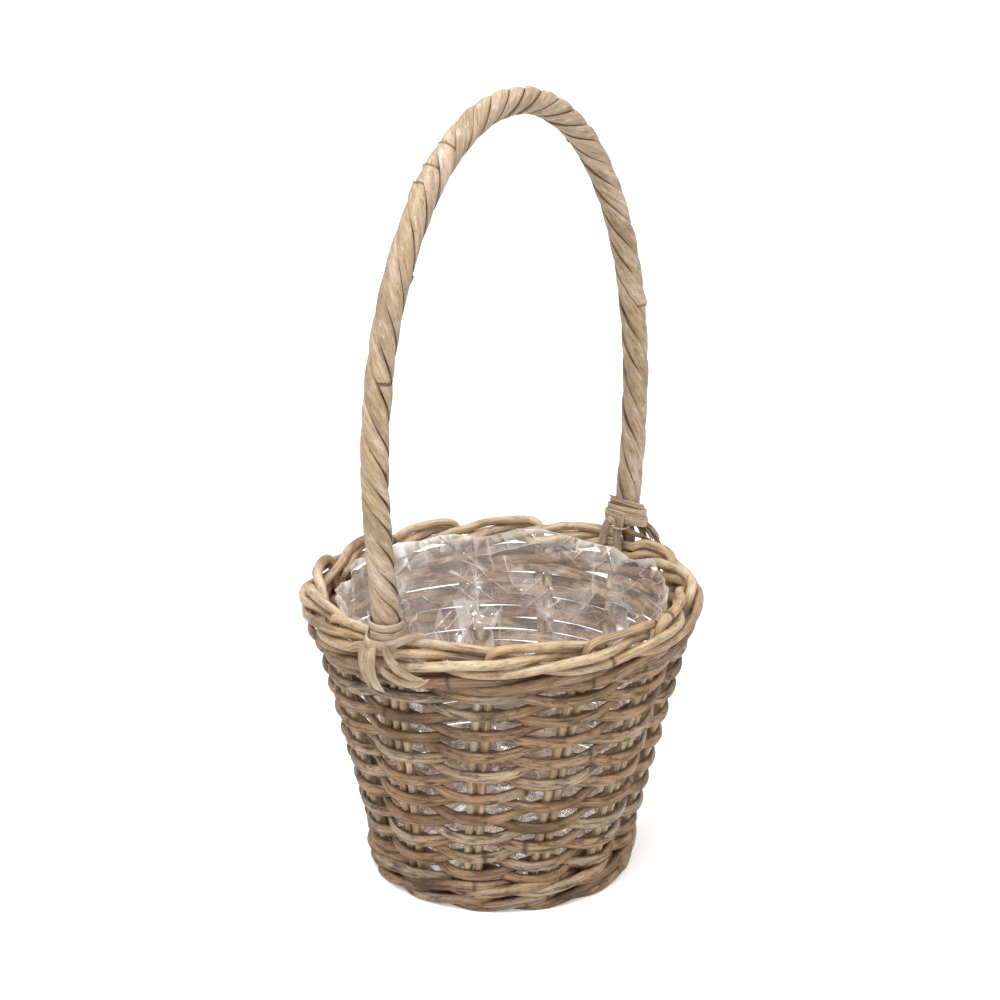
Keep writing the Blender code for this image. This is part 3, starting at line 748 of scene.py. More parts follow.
def wrap_turns(line):
    """How far the strips have turned at each point. They are wound closest at the arch's top."""
    lengths = distances(line)
    turned = [0.0]
    for i in range(1, len(line)):
        share = lengths[i] / lengths[-1]
        for (before, pitch), (after, next_pitch) in zip(WRAP_PITCHES, WRAP_PITCHES[1:]):
            if share <= after:
                pitch += (next_pitch - pitch) * (share - before) / (after - before)
                break
        turned.append(turned[-1] + (lengths[i] - lengths[i - 1]) / (pitch * MM) * math.tau)
    return turned


def wrap_line():
    """The hoop's middle in even steps, with two points close together at each joint of a strip."""
    line = [point for point in spaced(hoop_line(), 0.5 * MM) if point.z > WRAP_START_HEIGHT]
    lengths = distances(line)
    whole = lengths[-1]
    places = [whole * i / round(whole / WRAP_STEP) for i in range(round(whole / WRAP_STEP) + 1)]
    for share, _ in WRAP_JOINTS:
        places += [whole * share - WRAP_JOINT_GAP / 2, whole * share + WRAP_JOINT_GAP / 2]
    places.sort()
    points = []
    at = 0
    for place in places:
        while at < len(line) - 2 and lengths[at + 1] < place:
            at += 1
        part = (place - lengths[at]) / (lengths[at + 1] - lengths[at])
        points.append(line[at].lerp(line[at + 1], part))
    return points


def fray(work, point, out, along, seed):
    """A few loose fibres at the cut end of a strip."""
    draw = random.Random(seed)
    sideways = out.cross(along)
    for i in range(4):
        start = point + sideways * draw.uniform(-2.4, 2.4) * MM - along * draw.uniform(0, 1.5) * MM
        reach = draw.uniform(2.0, 4.5) * MM
        way = (along * draw.uniform(0.3, 1) + sideways * draw.uniform(-0.8, 0.8)
               + out * draw.uniform(0.1, 0.8)).normalized()
        path = [start, start + way * reach * 0.5, start + (way + out * 0.2) * reach]
        shape = flat_cane(draw.uniform(0.35, 0.7) * MM, 0.25 * MM, seed + i, (0, reach * 0.9), reach)
        lay_cane(work, path, [out] * 3, shape, seed + i)


def make_wraps():
    """Four strips of peel side by side. Each laps over its neighbour, here more, there less."""
    line = wrap_line()
    turned = wrap_turns(line)
    ways = tangents(line)
    across = Vector((0, 1, 0))
    lengths = distances(line)
    joints = {number: [] for number in range(WRAPS)}
    for share, side in WRAP_JOINTS:
        i = min(range(len(line)), key=lambda n: abs(lengths[n] - share * lengths[-1]))
        off = [abs((math.degrees(number * math.tau / WRAPS + turned[i]) - side + 180) % 360 - 180)
               for number in range(WRAPS)]
        joints[off.index(min(off))].append((lengths[-1] * share, i))
    shares = (-1, -0.93, -0.7, -0.45, -0.2, 0.05, 0.3, 0.55, 0.8, 0.95, 1)
    for number in range(WRAPS):
        seed = 420 + number
        work = new_work()
        straight = work.verts.layers.float_vector["straight"]
        finish = work.verts.layers.float_vector["finish"]
        around = len(shares) + 3
        bmesh.ops.create_grid(work, x_segments=around, y_segments=len(line) - 1, size=1)
        verts = list(work.verts)
        seams = {}
        for i, (point, along) in enumerate(zip(line, ways)):
            out = along.cross(across).normalized()
            lay = number * math.tau / WRAPS + turned[i]
            near_edge = 0.13 * wobble(lengths[i], 900 + number, 38 * MM)
            far_edge = 0.13 * wobble(lengths[i], 900 + (number + 1) % WRAPS, 38 * MM)
            seam = WRAP_SEAM * max(0.12, 0.6 + wobble(lengths[i], seed + 30, 24 * MM))
            half = math.pi / WRAPS - seam / 2 + (far_edge - near_edge) / 2
            lay += (near_edge + far_edge) / 2
            own = WRAP_RADIUS + 0.22 * MM * wobble(lengths[i], seed + 11, 18 * MM)
            lift = WRAP_LIFT * (1 + 0.9 * wobble(lengths[i], seed + 15, 26 * MM))
            # rough marks each joint with the knot colour: a painted shade across the step where one strip
            # ends and the next begins
            rough = 0.0
            for end, _ in joints[number]:
                before = end - lengths[i]
                if 0 < before < WRAP_JOINT_RISE:
                    own += WRAP_JOINT_LIFT * (1 - before / WRAP_JOINT_RISE)
                rough = max(rough, math.exp(-((before / (1.0 * MM)) ** 2)))
            ring = []
            for share in shares:
                crown = WRAP_CROWN * (1 - share * share) + lift * share
                ridge = 0.1 * MM * wobble(share * 4 + number * 9, seed + 3 + lengths[i] / (90 * MM), 1.0)
                ring.append((share, own + crown + ridge))
            ring += [(share, own - WRAP_THICKNESS + lift * share) for share in (0.95, 0, -0.95)]
            row = verts[i * (around + 1):(i + 1) * (around + 1)]
            for vert, (share, reach) in zip(row, ring + ring[:1]):
                turn = lay + half * share
                vert.co = point + (out * math.cos(turn) + across * math.sin(turn)) * reach
                vert[straight] = (number * 0.37, half * share * reach, lengths[i] * 1.3)
                vert[finish] = (rough, abs(share) ** 12, random.Random(seed).random())
            seams[row[-1]] = row[0]
        bmesh.ops.weld_verts(work, targetmap=seams)
        bmesh.ops.holes_fill(work, edges=[edge for edge in work.edges if edge.is_boundary])
        for end, i in joints[number]:
            out = ways[i].cross(across).normalized()
            turn = number * math.tau / WRAPS + turned[i]
            face = out * math.cos(turn) + across * math.sin(turn)
            fray(work, line[i] + face * (WRAP_RADIUS + WRAP_CROWN), face, ways[i], seed * 7 + i)
        finish_piece(work, f"handle_wrap_{number + 1}", "peel", PEEL, "peel")


def leg_place(leg, out, side, height):
    """A point beside a leg: outwards from the basket, along the border, and up."""
    angle = LEG_ANGLES[leg]
    half = min(hoop_half(-1 if leg == 0 else 1), key=lambda point: abs(point.z - height))
    foot = Vector((half.x, half.y, height))
    return foot + radial(angle) * out + radial(angle + math.pi / 2) * side


def lay_strip(work, leg, places, width, thickness, seed, tips=(0.0, 0.0), face=0):
    """A flat strip through places beside a leg. It faces away from the leg, or with a face of 1
    outwards and of -1 inwards from the basket."""
    path = spaced(through([leg_place(leg, *(v * MM for v in place)) for place in places], 8), 1.2 * MM)
    facings = []
    for point in path:
        hub = Vector() if face else leg_place(leg, 0, 0, point.z)
        facings.append(Vector((point.x - hub.x, point.y - hub.y, 0)) * (face or 1))
    length = distances(path)[-1]
    shape = flat_cane(width * MM, thickness * MM, seed, tuple(tip * MM for tip in tips), length)
    lay_cane(work, path, facings, shape, seed, cut=0.3)


def turns_round(start, end, level, climb, radius, growth, dip, toward):
    """Places of a strip wound round a leg: turns from start to end, dipping towards one side."""
    places = []
    count = int((end - start) * 14)
    for i in range(count + 1):
        turn = start + (end - start) * i / count
        angle = turn * math.tau
        reach = radius + growth * (turn - start)
        height = level + climb * (turn - start) - dip * math.cos(angle - toward)
        places.append((reach * math.cos(angle), reach * math.sin(angle), height))
    return places


def make_near_lashing():
    """The left foot's band and its long loose tail, and the four ends of its strap."""
    work = new_work()
    band = turns_round(-0.3, 1.36, 179.2, 4.9, 10.3, -0.25, 1.7, math.radians(71))
    band.append((band[-1][0] * 1.1, band[-1][1] * 1.12, band[-1][2] + 0.8))
    lay_strip(work, 0, band, 5.2, 1.2, 500)
    sweep = [(8.6, -6.2, 183), (12, -5.2, 180.4), (14.5, -2.8, 178.6), (15.3, 0, 177.6), (14.8, 3.6, 177.1),
             (13.6, 7.6, 177), (12, 11.9, 178.1), (9.8, 16, 180), (6.6, 20, 182.3), (3, 23.5, 183.6),
             (-1, 26.8, 183)]
    lay_strip(work, 0, sweep, 5.6, 1.1, 501, tips=(0, 9))
    finish_piece(work, "lashing_left_collar", "peel", PEEL, "peel")
    work = new_work()
    sliver = [(12.6, -3.4, 178), (14.2, -4.6, 175), (16.4, -5.2, 170.6), (15.9, -5.6, 164.9),
              (13.9, -5.9, 158.8), (10.9, -6, 152.4), (8.4, -5.8, 148)]
    lay_strip(work, 0, sliver, 4.6, 1.0, 503, tips=(0, 6), face=1)
    wide = [(12.6, 0.3, 178), (14.8, 0.8, 175.4), (17.4, 1.8, 172.6), (18.5, 2.2, 168), (17.9, 2, 163.5),
            (15.8, 1.6, 158.6), (12.6, 1.4, 153.2), (9.8, 1.6, 148.4)]
    lay_strip(work, 0, wide, 7.6, 1.2, 502, face=1)
    curl = [(11.6, 6.4, 178.6), (13, 8.4, 176.4), (15.6, 12, 174), (16.8, 16.2, 171), (16.2, 20, 167.4),
            (14, 23.6, 164.2), (10.8, 27.2, 161.6), (7.4, 30.8, 160.8)]
    lay_strip(work, 0, curl, 6.6, 1.1, 504, tips=(0, 13), face=1)
    under = [(12.8, 2.4, 164.6), (14.4, 8.4, 162.4), (13, 13.6, 159.4), (10.8, 18.9, 157.2),
             (8.6, 24.3, 156.7), (6.6, 29, 158), (4, 32.5, 160.2)]
    lay_strip(work, 0, under, 4.6, 1.3, 505, tips=(3, 8), face=1)
    finish_piece(work, "lashing_left_strap", "peel", PEEL, "peel")


def make_far_lashing():
    """The right foot's cone of strands with its knot, and the strap's ends and fibres."""
    work = new_work()
    for start, end, level, radius, dip, width in (
            (0.1, 1.22, 191.4, 13.0, 3.7, 6.2), (0.15, 1.26, 196.2, 11.9, 3.8, 5.0),
            (0.05, 1.12, 199.8, 10.2, 4.0, 5.2), (0.3, 1.0, 193.9, 13.1, 4.6, 1.2),
            (0.25, 0.95, 197.9, 11.9, 2.8, 1.3), (0.4, 0.9, 198.9, 11.4, 5.4, 0.9)):
        places = turns_round(start, end, level, -0.5, radius, 0.2, dip, 0.0)
        lay_strip(work, 1, places, width, 1.1, 510 + round(level * 3))
    out = radial(LEG_ANGLES[1] + math.radians(165))
    for height, seed in ((203, 530), (204.2, 531), (198.5, 532)):
        fray(work, leg_place(1, -6.7 * MM, 6.4 * MM, height * MM), out, UP, seed)
    knot = [(-11.5, 3.5, 194), (-13.6, 2, 192.6), (-14, -0.6, 191.6), (-12.4, -3, 189.8)]
    lay_strip(work, 1, knot, 5.0, 1.6, 519, tips=(2, 3), face=-1)
    finish_piece(work, "lashing_right_collar", "peel", PEEL, "peel")
    work = new_work()
    beige = [(-10.6, 2.2, 196), (-11.4, 3.6, 191.4), (-10.8, 6.8, 185.2), (-8.6, 10.8, 178.4),
             (-7.8, 13.4, 171)]
    lay_strip(work, 1, beige, 6.4, 1.1, 513, tips=(0, 3), face=-1)
    green = [(-10.8, -4.2, 196.6), (-12, -4.9, 191.8), (-11.4, -3.6, 185.7), (-9.4, -1.6, 179.1),
             (-8.4, -0.8, 172.4)]
    lay_strip(work, 1, green, 7.6, 1.1, 514, face=-1)
    tie = [(-10.5, 3.5, 189.4), (-13.2, 1.8, 188.8), (-13.6, -2.8, 188.3), (-13, -7, 188.2),
           (-10.8, -9.8, 188.6), (-8, -10, 189.4)]
    lay_strip(work, 1, tie, 1.3, 0.9, 517)
    across = [(-8.4, -4.4, 188.6), (-6.6, -8.4, 186), (-2.6, -12, 183), (3, -14.2, 180), (8, -15.4, 177)]
    lay_strip(work, 1, across, 5.0, 1.3, 520, tips=(0, 3), face=-1)
    draw = random.Random(61)
    for i in range(12):
        out, side = draw.uniform(-4, 6), draw.uniform(-9, -3)
        run = draw.uniform(0.6, 1.1)
        fibre = [(out, side, 192.5), (out + 4 * run, side - 2.5 * run, 189),
                 (out + 9 * run, side - 6.5 * run, 184), (out + 12 * run, side - 10 * run, 178.5)]
        lay_strip(work, 1, fibre, draw.uniform(0.7, 2.4), 0.7, 540 + i, tips=(0, 5), face=-1)
    slack = [(2.6, -8.2, 193.4), (5.4, -9.9, 189.6), (7.8, -11.6, 185.6), (10.8, -13.2, 181),
             (13.4, -14.8, 176.2), (14.8, -16.6, 170), (13, -18, 163), (9.6, -19, 156)]
    lay_strip(work, 1, slack, 5.0, 1.1, 518, tips=(0, 8), face=1)
    outer = [(8.4, 1.5, 192), (11.4, 0.5, 186), (14.6, -1, 179), (15.2, -3, 171), (13.2, -5, 163),
             (9.6, -7, 155)]
    lay_strip(work, 1, outer, 5.8, 1.1, 515, tips=(0, 8), face=1)
    back = [(7.4, 7.6, 192), (10.6, 7.8, 186), (13.8, 8, 179), (14.6, 8.2, 171), (12.6, 8.4, 163),
            (9.2, 8.6, 155)]
    lay_strip(work, 1, back, 6.4, 1.1, 516, tips=(0, 8), face=1)
    finish_piece(work, "lashing_right_strap", "peel", PEEL, "peel")


# Film liner


def edge_height(angle):
    """The height of the film's cut edge, which rises and drops in waves round the mouth."""
    turn = (math.degrees(angle) - EDGE_HEIGHTS[0][0]) % 360 + EDGE_HEIGHTS[0][0]
    for (before, low), (after, high) in zip(EDGE_HEIGHTS, EDGE_HEIGHTS[1:]):
        if turn <= after:
            share = (turn - before) / (after - before)
            return (low + (high - low) * share * share * (3 - 2 * share)) * MM
    return EDGE_HEIGHTS[-1][1] * MM


def film_reach(height):
    """How far from the middle the film may stand: inside the weavers, and then inside the border."""
    rim = min(1.0, max(0.0, (height - LINER_RIM_FROM) / LINER_RIM_RISE))
    return stake_line(min(height, LINER_TOP)) - LINER_WALL_GAP - (LINER_RIM_GAP - LINER_WALL_GAP) * rim


def make_liner():
    """The film stands in the basket like a crumpled bag: flat facets between sharp folds, broken up
    three times over into smaller ones. crease holds how sharply it is folded at a point, and is
    full along the cut edge."""
    draw = random.Random(19)
    floor_draw = random.Random(23)
    work = bmesh.new()
    profile = [(0.0, LINER_FLOOR), (LINER_FLOOR_RADIUS * 0.35, LINER_FLOOR),
               (LINER_FLOOR_RADIUS * 0.7, LINER_FLOOR), (LINER_FLOOR_RADIUS, LINER_FLOOR)]
    for row in range(1, FILM_ROWS + 1):
        height = LINER_FLOOR + (LINER_TOP - LINER_FLOOR) * row / FILM_ROWS
        profile.append((film_reach(height), height))
    verts = [work.verts.new((radius, 0, height)) for radius, height in profile]
    edges = [work.edges.new(pair) for pair in zip(verts, verts[1:])]
    bmesh.ops.spin(work, geom=verts + edges, cent=(0, 0, 0), axis=(0, 0, 1), angle=math.tau,
                   steps=FILM_FACETS, use_merge=True)
    bmesh.ops.remove_doubles(work, verts=work.verts, dist=0.01 * MM)
    cell = math.tau / FILM_FACETS
    rise = (LINER_TOP - LINER_FLOOR) / FILM_ROWS
    for vert in work.verts:
        out = math.hypot(vert.co.x, vert.co.y)
        if out < LINER_FLOOR_FLAT:
            vert.co.z += draw.uniform(0, 1.2) * MM
            vert.co.x += floor_draw.uniform(-1, 1) * FLOOR_CRUMPLE
            vert.co.y += floor_draw.uniform(-1, 1) * FLOOR_CRUMPLE
            continue
        angle = math.atan2(vert.co.y, vert.co.x)
        share = min(1.0, (vert.co.z - LINER_FLOOR) / (LINER_TOP - LINER_FLOOR))
        angle += cell * draw.uniform(-FACET_SHIFT_SHARE, FACET_SHIFT_SHARE)
        height = LINER_FLOOR + share * (edge_height(angle) - LINER_FLOOR)
        if 0.01 < share < 0.99:
            height += rise * draw.uniform(-FACET_SHIFT_SHARE, FACET_SHIFT_SHARE)
        deep = draw.random() ** 1.5 * FOLD_DEPTH * min(1.0, share * 4 + 0.2) * (1 - 0.5 * share ** 6)
        pleat = max(0.0, noise.noise(radial(angle) * PLEATS_ROUND + UP * share)) * PLEAT_DEPTH * share
        vert.co = radial(angle) * (film_reach(height) - deep - pleat) + UP * height
    floor = [vert for vert in work.verts if math.hypot(vert.co.x, vert.co.y) < LINER_FLOOR_FLAT
             and vert.co.z < LINER_FLOOR + 1.5 * MM]
    bmesh.ops.remove_doubles(work, verts=floor, dist=FLOOR_FACET)
    bmesh.ops.triangulate(work, faces=work.faces, quad_method="SHORT_EDGE")
    for level, jump in enumerate(FACET_JUMPS):
        before = set(work.verts)
        bmesh.ops.subdivide_edges(work, edges=work.edges, cuts=1)
        fresh = [vert for vert in work.verts if vert not in before]
        for vert in sorted(fresh, key=lambda vert: tuple(vert.co)):
            if vert.co.z < LINER_FLOOR + 3 * MM:
                continue
            away = Vector((vert.co.x, vert.co.y, 0)).normalized()
            busy = 0.75 + 0.9 * noise.noise(vert.co / FILM_PATCH + UP * (level * 9 + 3))
            loose = (vert.co.z - FILM_CALM_BELOW) / (FILM_LOOSE_ABOVE - FILM_CALM_BELOW)
            busy *= min(1.0, max(0.3, 0.3 + 0.7 * loose))
            vert.co += away * (draw.uniform(-1, 0.8) * jump * max(0.05, busy))
    bmesh.ops.recalc_face_normals(work, faces=work.faces)
    crease = work.verts.layers.float.new("crease")
    for vert in work.verts:
        bends = [edge.calc_face_angle(0.0) for edge in vert.link_edges]
        vert[crease] = 1.0 if vert.is_boundary else min(1.0, max(bends) / CREASE_ANGLE)
    film = finish_piece(work, "liner", "film", FILM, "film", sharp=False)


# Materials


def linear(code):
    """A colour given as sRGB hex, as the linear values that a shader takes."""
    values = [int(code[i:i + 2], 16) / 255 for i in (0, 2, 4)]
    return (*[v / 12.92 if v <= 0.04045 else ((v + 0.055) / 1.055) ** 2.4 for v in values], 1)


def add(tree, kind, inputs=None, stops=None, **settings):
    """Adds a node with its settings, its inputs as links or values, and a ramp's stops."""
    node = tree.nodes.new(kind)
    for key, value in settings.items():
        setattr(node, key, value)
    for key, value in (inputs or {}).items():
        if isinstance(value, bpy.types.NodeSocket):
            tree.links.new(value, node.inputs[key])
        else:
            node.inputs[key].default_value = value
    if stops:
        while len(node.color_ramp.elements) < len(stops):
            node.color_ramp.elements.new(0.5)
        for element, (position, colour) in zip(node.color_ramp.elements, stops):
            element.position = position
            element.color = linear(colour) if isinstance(colour, str) else (colour,) * 3 + (1,)
    return node


def new_material(name):
    """A material, its nodes and its main shader."""
    material = bpy.data.materials.new(name)
    material.use_nodes = True
    return material, material.node_tree, material.node_tree.nodes["Principled BSDF"]


def cane_material(name, tones, stain, stain_share, roughness, edge_tone_and_shade="D9C6A8", edge_share=0.6,
                  bloom=None, coat=0.0, speck_share=0.8, grain_share=0.3):
    """Rattan cane: colour drifts along each cane, with fine lengthwise grain, grey mildew stains,
    dark specks and rings at the knots. The pattern follows the cane as it bends."""
    material, tree, shader = new_material(name)
    straight = add(tree, "ShaderNodeAttribute", attribute_name="straight").outputs["Vector"]
    finish = add(tree, "ShaderNodeAttribute", attribute_name="finish").outputs["Vector"]
    knot, edge, tone = add(tree, "ShaderNodeSeparateXYZ", {0: finish}).outputs

    texture = {}
    for kind, (across, along, detail, rough) in CANE_NOISES.items():
        scale = (1 / (across * MM), 1 / (across * MM), 1 / (along * MM))
        place = add(tree, "ShaderNodeMapping", {0: straight, 3: scale}).outputs[0]
        texture[kind] = add(tree, "ShaderNodeTexNoise", {"Vector": place, "Scale": 1.0, "Detail": detail,
                                                         "Roughness": rough}).outputs[0]

    # Its own tone, drifting along the cane, then shaded by streaks and grain
    spread = add(tree, "ShaderNodeMath", {0: texture["drift"], 1: 1.5, 2: -0.25}, operation="MULTIPLY_ADD")
    own = add(tree, "ShaderNodeMath", {0: tone, 1: 0.4, 2: spread.outputs[0]}, operation="MULTIPLY_ADD")
    centred = add(tree, "ShaderNodeMath", {0: own.outputs[0], 1: 0.2}, operation="SUBTRACT")
    last = len(tones) - 1
    colour = add(tree, "ShaderNodeValToRGB", {0: centred.outputs[0]},
                 stops=[(0.15 + 0.7 * i / last, tones[i]) for i in range(len(tones))]).outputs[0]
    for kind in ("streak", "grain"):
        shade = add(tree, "ShaderNodeValToRGB", {0: texture[kind]},
                    stops=[(0.32, 1 - grain_share), (0.5, 1.0), (0.7, 1 + grain_share * 0.6)])
        colour = add(tree, "ShaderNodeMix", {0: 1.0, 6: colour, 7: shade.outputs[0]},
                     data_type="RGBA", blend_type="MULTIPLY").outputs[2]

    # Where each mark shows. Specks and cracks keep to the patches round the stains
    marks = [("stain", texture["stain"], [(0.48, 0.0), (0.66, stain_share)]),
             ("patch", texture["stain"], [(0.44, 0.0), (0.58, 1.0)]),
             ("speck", texture["speck"], [(0.62, 0.0), (0.69, speck_share)]),
             ("crack", texture["crack"], [(0.485, 0.0), (0.5, 0.75), (0.515, 0.0)]),
             ("rim", edge, [(0.7, 0.0), (0.95, edge_share)]),
             ("ring", knot, [(0.3, 0.0), (0.8, 0.85)])]
    if bloom:
        marks.append(("bloom", texture["stain"], [(0.3, 0.75), (0.42, 0.0)]))
    shown = {}
    for mark, value, stops in marks:
        shown[mark] = add(tree, "ShaderNodeValToRGB", {0: value}, stops=stops).outputs[0]
    for mark in ("speck", "crack"):
        shown[mark] = add(tree, "ShaderNodeMath", {0: shown[mark], 1: shown["patch"]},
                          operation="MULTIPLY").outputs[0]

    # The marks, one over the other, with the flat inside of a split cane paler than its skin and brightened
    # further by painted light, standing in for light on the basket's dim inside
    for mark, over in (("stain", stain), ("speck", SPECK_TONE), ("crack", CRACK_TONE)):
        colour = add(tree, "ShaderNodeMix", {0: shown[mark], 6: colour, 7: linear(over)},
                     data_type="RGBA").outputs[2]
    inside = add(tree, "ShaderNodeMapRange", {0: edge, 1: 0.3, 2: -0.6, 3: 0.0, 4: 0.7})
    lit = add(tree, "ShaderNodeMix", {0: 1.0, 6: colour, 7: INSIDE_PALE_AND_LIGHT_GAIN},
              data_type="RGBA", blend_type="MULTIPLY").outputs[2]
    colour = add(tree, "ShaderNodeMix", {0: inside.outputs[0], 6: colour, 7: lit},
                 data_type="RGBA").outputs[2]
    # rim: the pale cut face of a sliced cane; on weavers and peel its dark tone is a painted shade along
    # the edges of each strip
    for mark, over in (("bloom", bloom), ("rim", edge_tone_and_shade), ("ring", KNOT_AND_JOINT_SHADE_TONE)):
        if mark in shown:
            colour = add(tree, "ShaderNodeMix", {0: shown[mark], 6: colour, 7: linear(over)},
                         data_type="RGBA").outputs[2]
    tree.links.new(colour, shader.inputs["Base Color"])

    dull = add(tree, "ShaderNodeMapRange", {0: texture["stain"], 1: 0.3, 2: 0.7, 3: roughness[0],
                                            4: roughness[1]})
    tree.links.new(dull.outputs[0], shader.inputs["Roughness"])
    relief = add(tree, "ShaderNodeBump", {"Strength": 0.6, "Distance": 0.35 * MM,
                                          "Height": texture["grain"]})
    tree.links.new(relief.outputs[0], shader.inputs["Normal"])
    shader.inputs["Coat Weight"].default_value = coat
    shader.inputs["Coat Roughness"].default_value = 0.2
    return material


def film_material():
    """Clear polypropylene film, thin and crumpled: see-through, with a hard gloss that mirrors the pale
    studio as a milky veil, and a pale haze that is partly its own and partly a painted reflection of
    the studio. Thin white lines run along its folds and wrinkles, partly the whitening of creased film
    and partly painted glints; they grow stronger towards the top, and the haze towards the top and the
    picture's left."""
    material, tree, shader = new_material("clear polypropylene film")
    place = add(tree, "ShaderNodeTexCoord").outputs["Object"]
    crease = add(tree, "ShaderNodeAttribute", attribute_name="crease").outputs["Fac"]
    patch = add(tree, "ShaderNodeTexNoise", {"Vector": place, "Scale": 30.0, "Detail": 3.0})
    fold = add(tree, "ShaderNodeValToRGB", {0: crease}, stops=[(0.45, 0.0), (1.0, 1.0)])

    # Long fine wrinkles in a few directions, each shown here and there: a line runs wherever a
    # noise stretched along it passes its middle
    wrinkles = {}
    for number, (tilt, length, gap) in enumerate(WRINKLES):
        turn = (0, math.radians(tilt), WRINKLES_TURN)
        size = (length * MM, WRINKLE_DEPTH, gap * MM)
        along = add(tree, "ShaderNodeMapping", {0: place, 2: turn, 3: size},
                    vector_type="TEXTURE").outputs[0]
        flow = add(tree, "ShaderNodeTexNoise", {"Vector": along, "Scale": 1.0, "Detail": 0.0})
        middle = add(tree, "ShaderNodeMath", {0: flow.outputs[0], 1: 0.5}, operation="SUBTRACT")
        near = add(tree, "ShaderNodeMath", {0: middle.outputs[0]}, operation="ABSOLUTE")
        moved = add(tree, "ShaderNodeMapping", {0: place, 1: (number * 0.31, 0, number * 0.17)}).outputs[0]
        where = add(tree, "ShaderNodeTexNoise", {"Vector": moved, "Scale": 32.0, "Detail": 1.0})
        shown = add(tree, "ShaderNodeValToRGB", {0: where.outputs[0]}, stops=[(0.52, 0.0), (0.6, 1.0)])
        for kind, start, end in (("ridge", 0.0, 0.09), ("hair", 0.002, 0.011)):
            line = add(tree, "ShaderNodeMapRange", {0: near.outputs[0], 1: start, 2: end, 3: 1.0, 4: 0.0})
            line = add(tree, "ShaderNodeMath", {0: line.outputs[0], 1: shown.outputs[0]},
                       operation="MULTIPLY")
            if number:
                line = add(tree, "ShaderNodeMath", {0: line.outputs[0], 1: wrinkles[kind].outputs[0]},
                           operation="MAXIMUM")
            wrinkles[kind] = line
    # The folds and hair lines show as white: partly the whitening of creased film, partly painted glints
    # along the wrinkles
    lines = add(tree, "ShaderNodeMath", {0: fold.outputs[0], 1: wrinkles["hair"].outputs[0]},
                operation="MAXIMUM")
    height = add(tree, "ShaderNodeSeparateXYZ", {0: place}).outputs["Z"]
    higher = add(tree, "ShaderNodeMapRange", {0: height, 1: 85 * MM, 2: 165 * MM})
    white = add(tree, "ShaderNodeMapRange", {0: higher.outputs[0], 3: 0.3, 4: 0.6})
    dull = add(tree, "ShaderNodeMapRange", {0: patch.outputs[0], 1: 0.3, 2: 0.7, 3: 0.05, 4: 0.19})
    # The haze: partly the film's own milkiness, partly a painted reflection of the pale studio; thicker
    # towards the top and the picture's left
    towards = add(tree, "ShaderNodeVectorMath", {0: place, 1: HAZIER_SIDE},
                  operation="DOT_PRODUCT").outputs["Value"]
    side = add(tree, "ShaderNodeMapRange", {0: towards, 1: -60 * MM, 2: 60 * MM})
    veil = add(tree, "ShaderNodeMath", {0: higher.outputs[0], 1: side.outputs[0]}, operation="MULTIPLY")
    haze = add(tree, "ShaderNodeMath", {0: veil.outputs[0], 1: 0.16, 2: dull.outputs[0]},
               operation="MULTIPLY_ADD")
    alpha = add(tree, "ShaderNodeMath", {0: lines.outputs[0], 1: white.outputs[0], 2: haze.outputs[0]},
                operation="MULTIPLY_ADD", use_clamp=True)
    tree.links.new(alpha.outputs[0], shader.inputs["Alpha"])
    shader.inputs["Base Color"].default_value = linear("F0E9E4")
    shader.inputs["Roughness"].default_value = 0.25
    shader.inputs["IOR"].default_value = 1.49
    relief = add(tree, "ShaderNodeBump", {"Strength": 0.8, "Distance": 0.6 * MM,
                                          "Height": wrinkles["ridge"].outputs[0]})
    tree.links.new(relief.outputs[0], shader.inputs["Normal"])
    facing = add(tree, "ShaderNodeLayerWeight", {"Blend": 0.5}).outputs["Facing"]
    slanted = add(tree, "ShaderNodeMath", {0: facing, 1: 5.0}, operation="POWER")
    mirrored = add(tree, "ShaderNodeMapRange", {0: slanted.outputs[0], 3: 0.14, 4: 0.55})
    gloss = add(tree, "ShaderNodeBsdfAnisotropic", {"Color": mirrored.outputs[0], "Roughness": 0.07,
                                                    "Normal": relief.outputs[0]})
    both = add(tree, "ShaderNodeAddShader", {0: shader.outputs[0], 1: gloss.outputs[0]})
    tree.links.new(both.outputs[0], tree.nodes["Material Output"].inputs["Surface"])
    return material


# Floor, lights and camera


def make_floor():
    """A white floor, lifted to the white of the surround for the camera alone."""
    work = bmesh.new()
    bmesh.ops.create_grid(work, x_segments=1, y_segments=1, size=FLOOR_HALF)
    mesh = bpy.data.meshes.new("floor")
    work.to_mesh(mesh)
    work.free()
    material, tree, shader = new_material("white studio floor")
    shader.inputs["Base Color"].default_value = linear("F4F4F4")
    shader.inputs["Roughness"].default_value = 0.9
    camera = add(tree, "ShaderNodeLightPath").outputs["Is Camera Ray"]
    place = add(tree, "ShaderNodeTexCoord").outputs["Object"]
    away = add(tree, "ShaderNodeVectorMath", {0: place}, operation="LENGTH").outputs["Value"]
    missing = add(tree, "ShaderNodeMapRange", {0: away, 1: 0.3, 2: 2.5, 3: FLOOR_LIFT_NEAR,
                                               4: FLOOR_LIFT_FAR})
    lift = add(tree, "ShaderNodeMath", {0: camera, 1: missing.outputs[0]}, operation="MULTIPLY")
    shader.inputs["Emission Color"].default_value = (1, 1, 1, 1)
    tree.links.new(lift.outputs[0], shader.inputs["Emission Strength"])
    mesh.materials.append(material)
    floor = add_object("floor", mesh)


def place_round(body, aim, azimuth, elevation, distance):
    """Puts a lamp or the camera at a distance from its aim, looking at it."""
    level = Vector((math.sin(azimuth), -math.cos(azimuth), 0))
    away = level * math.cos(elevation) + UP * math.sin(elevation)
    body.location = aim + away * distance
    body.rotation_euler = away.to_track_quat("Z", "Y").to_euler()


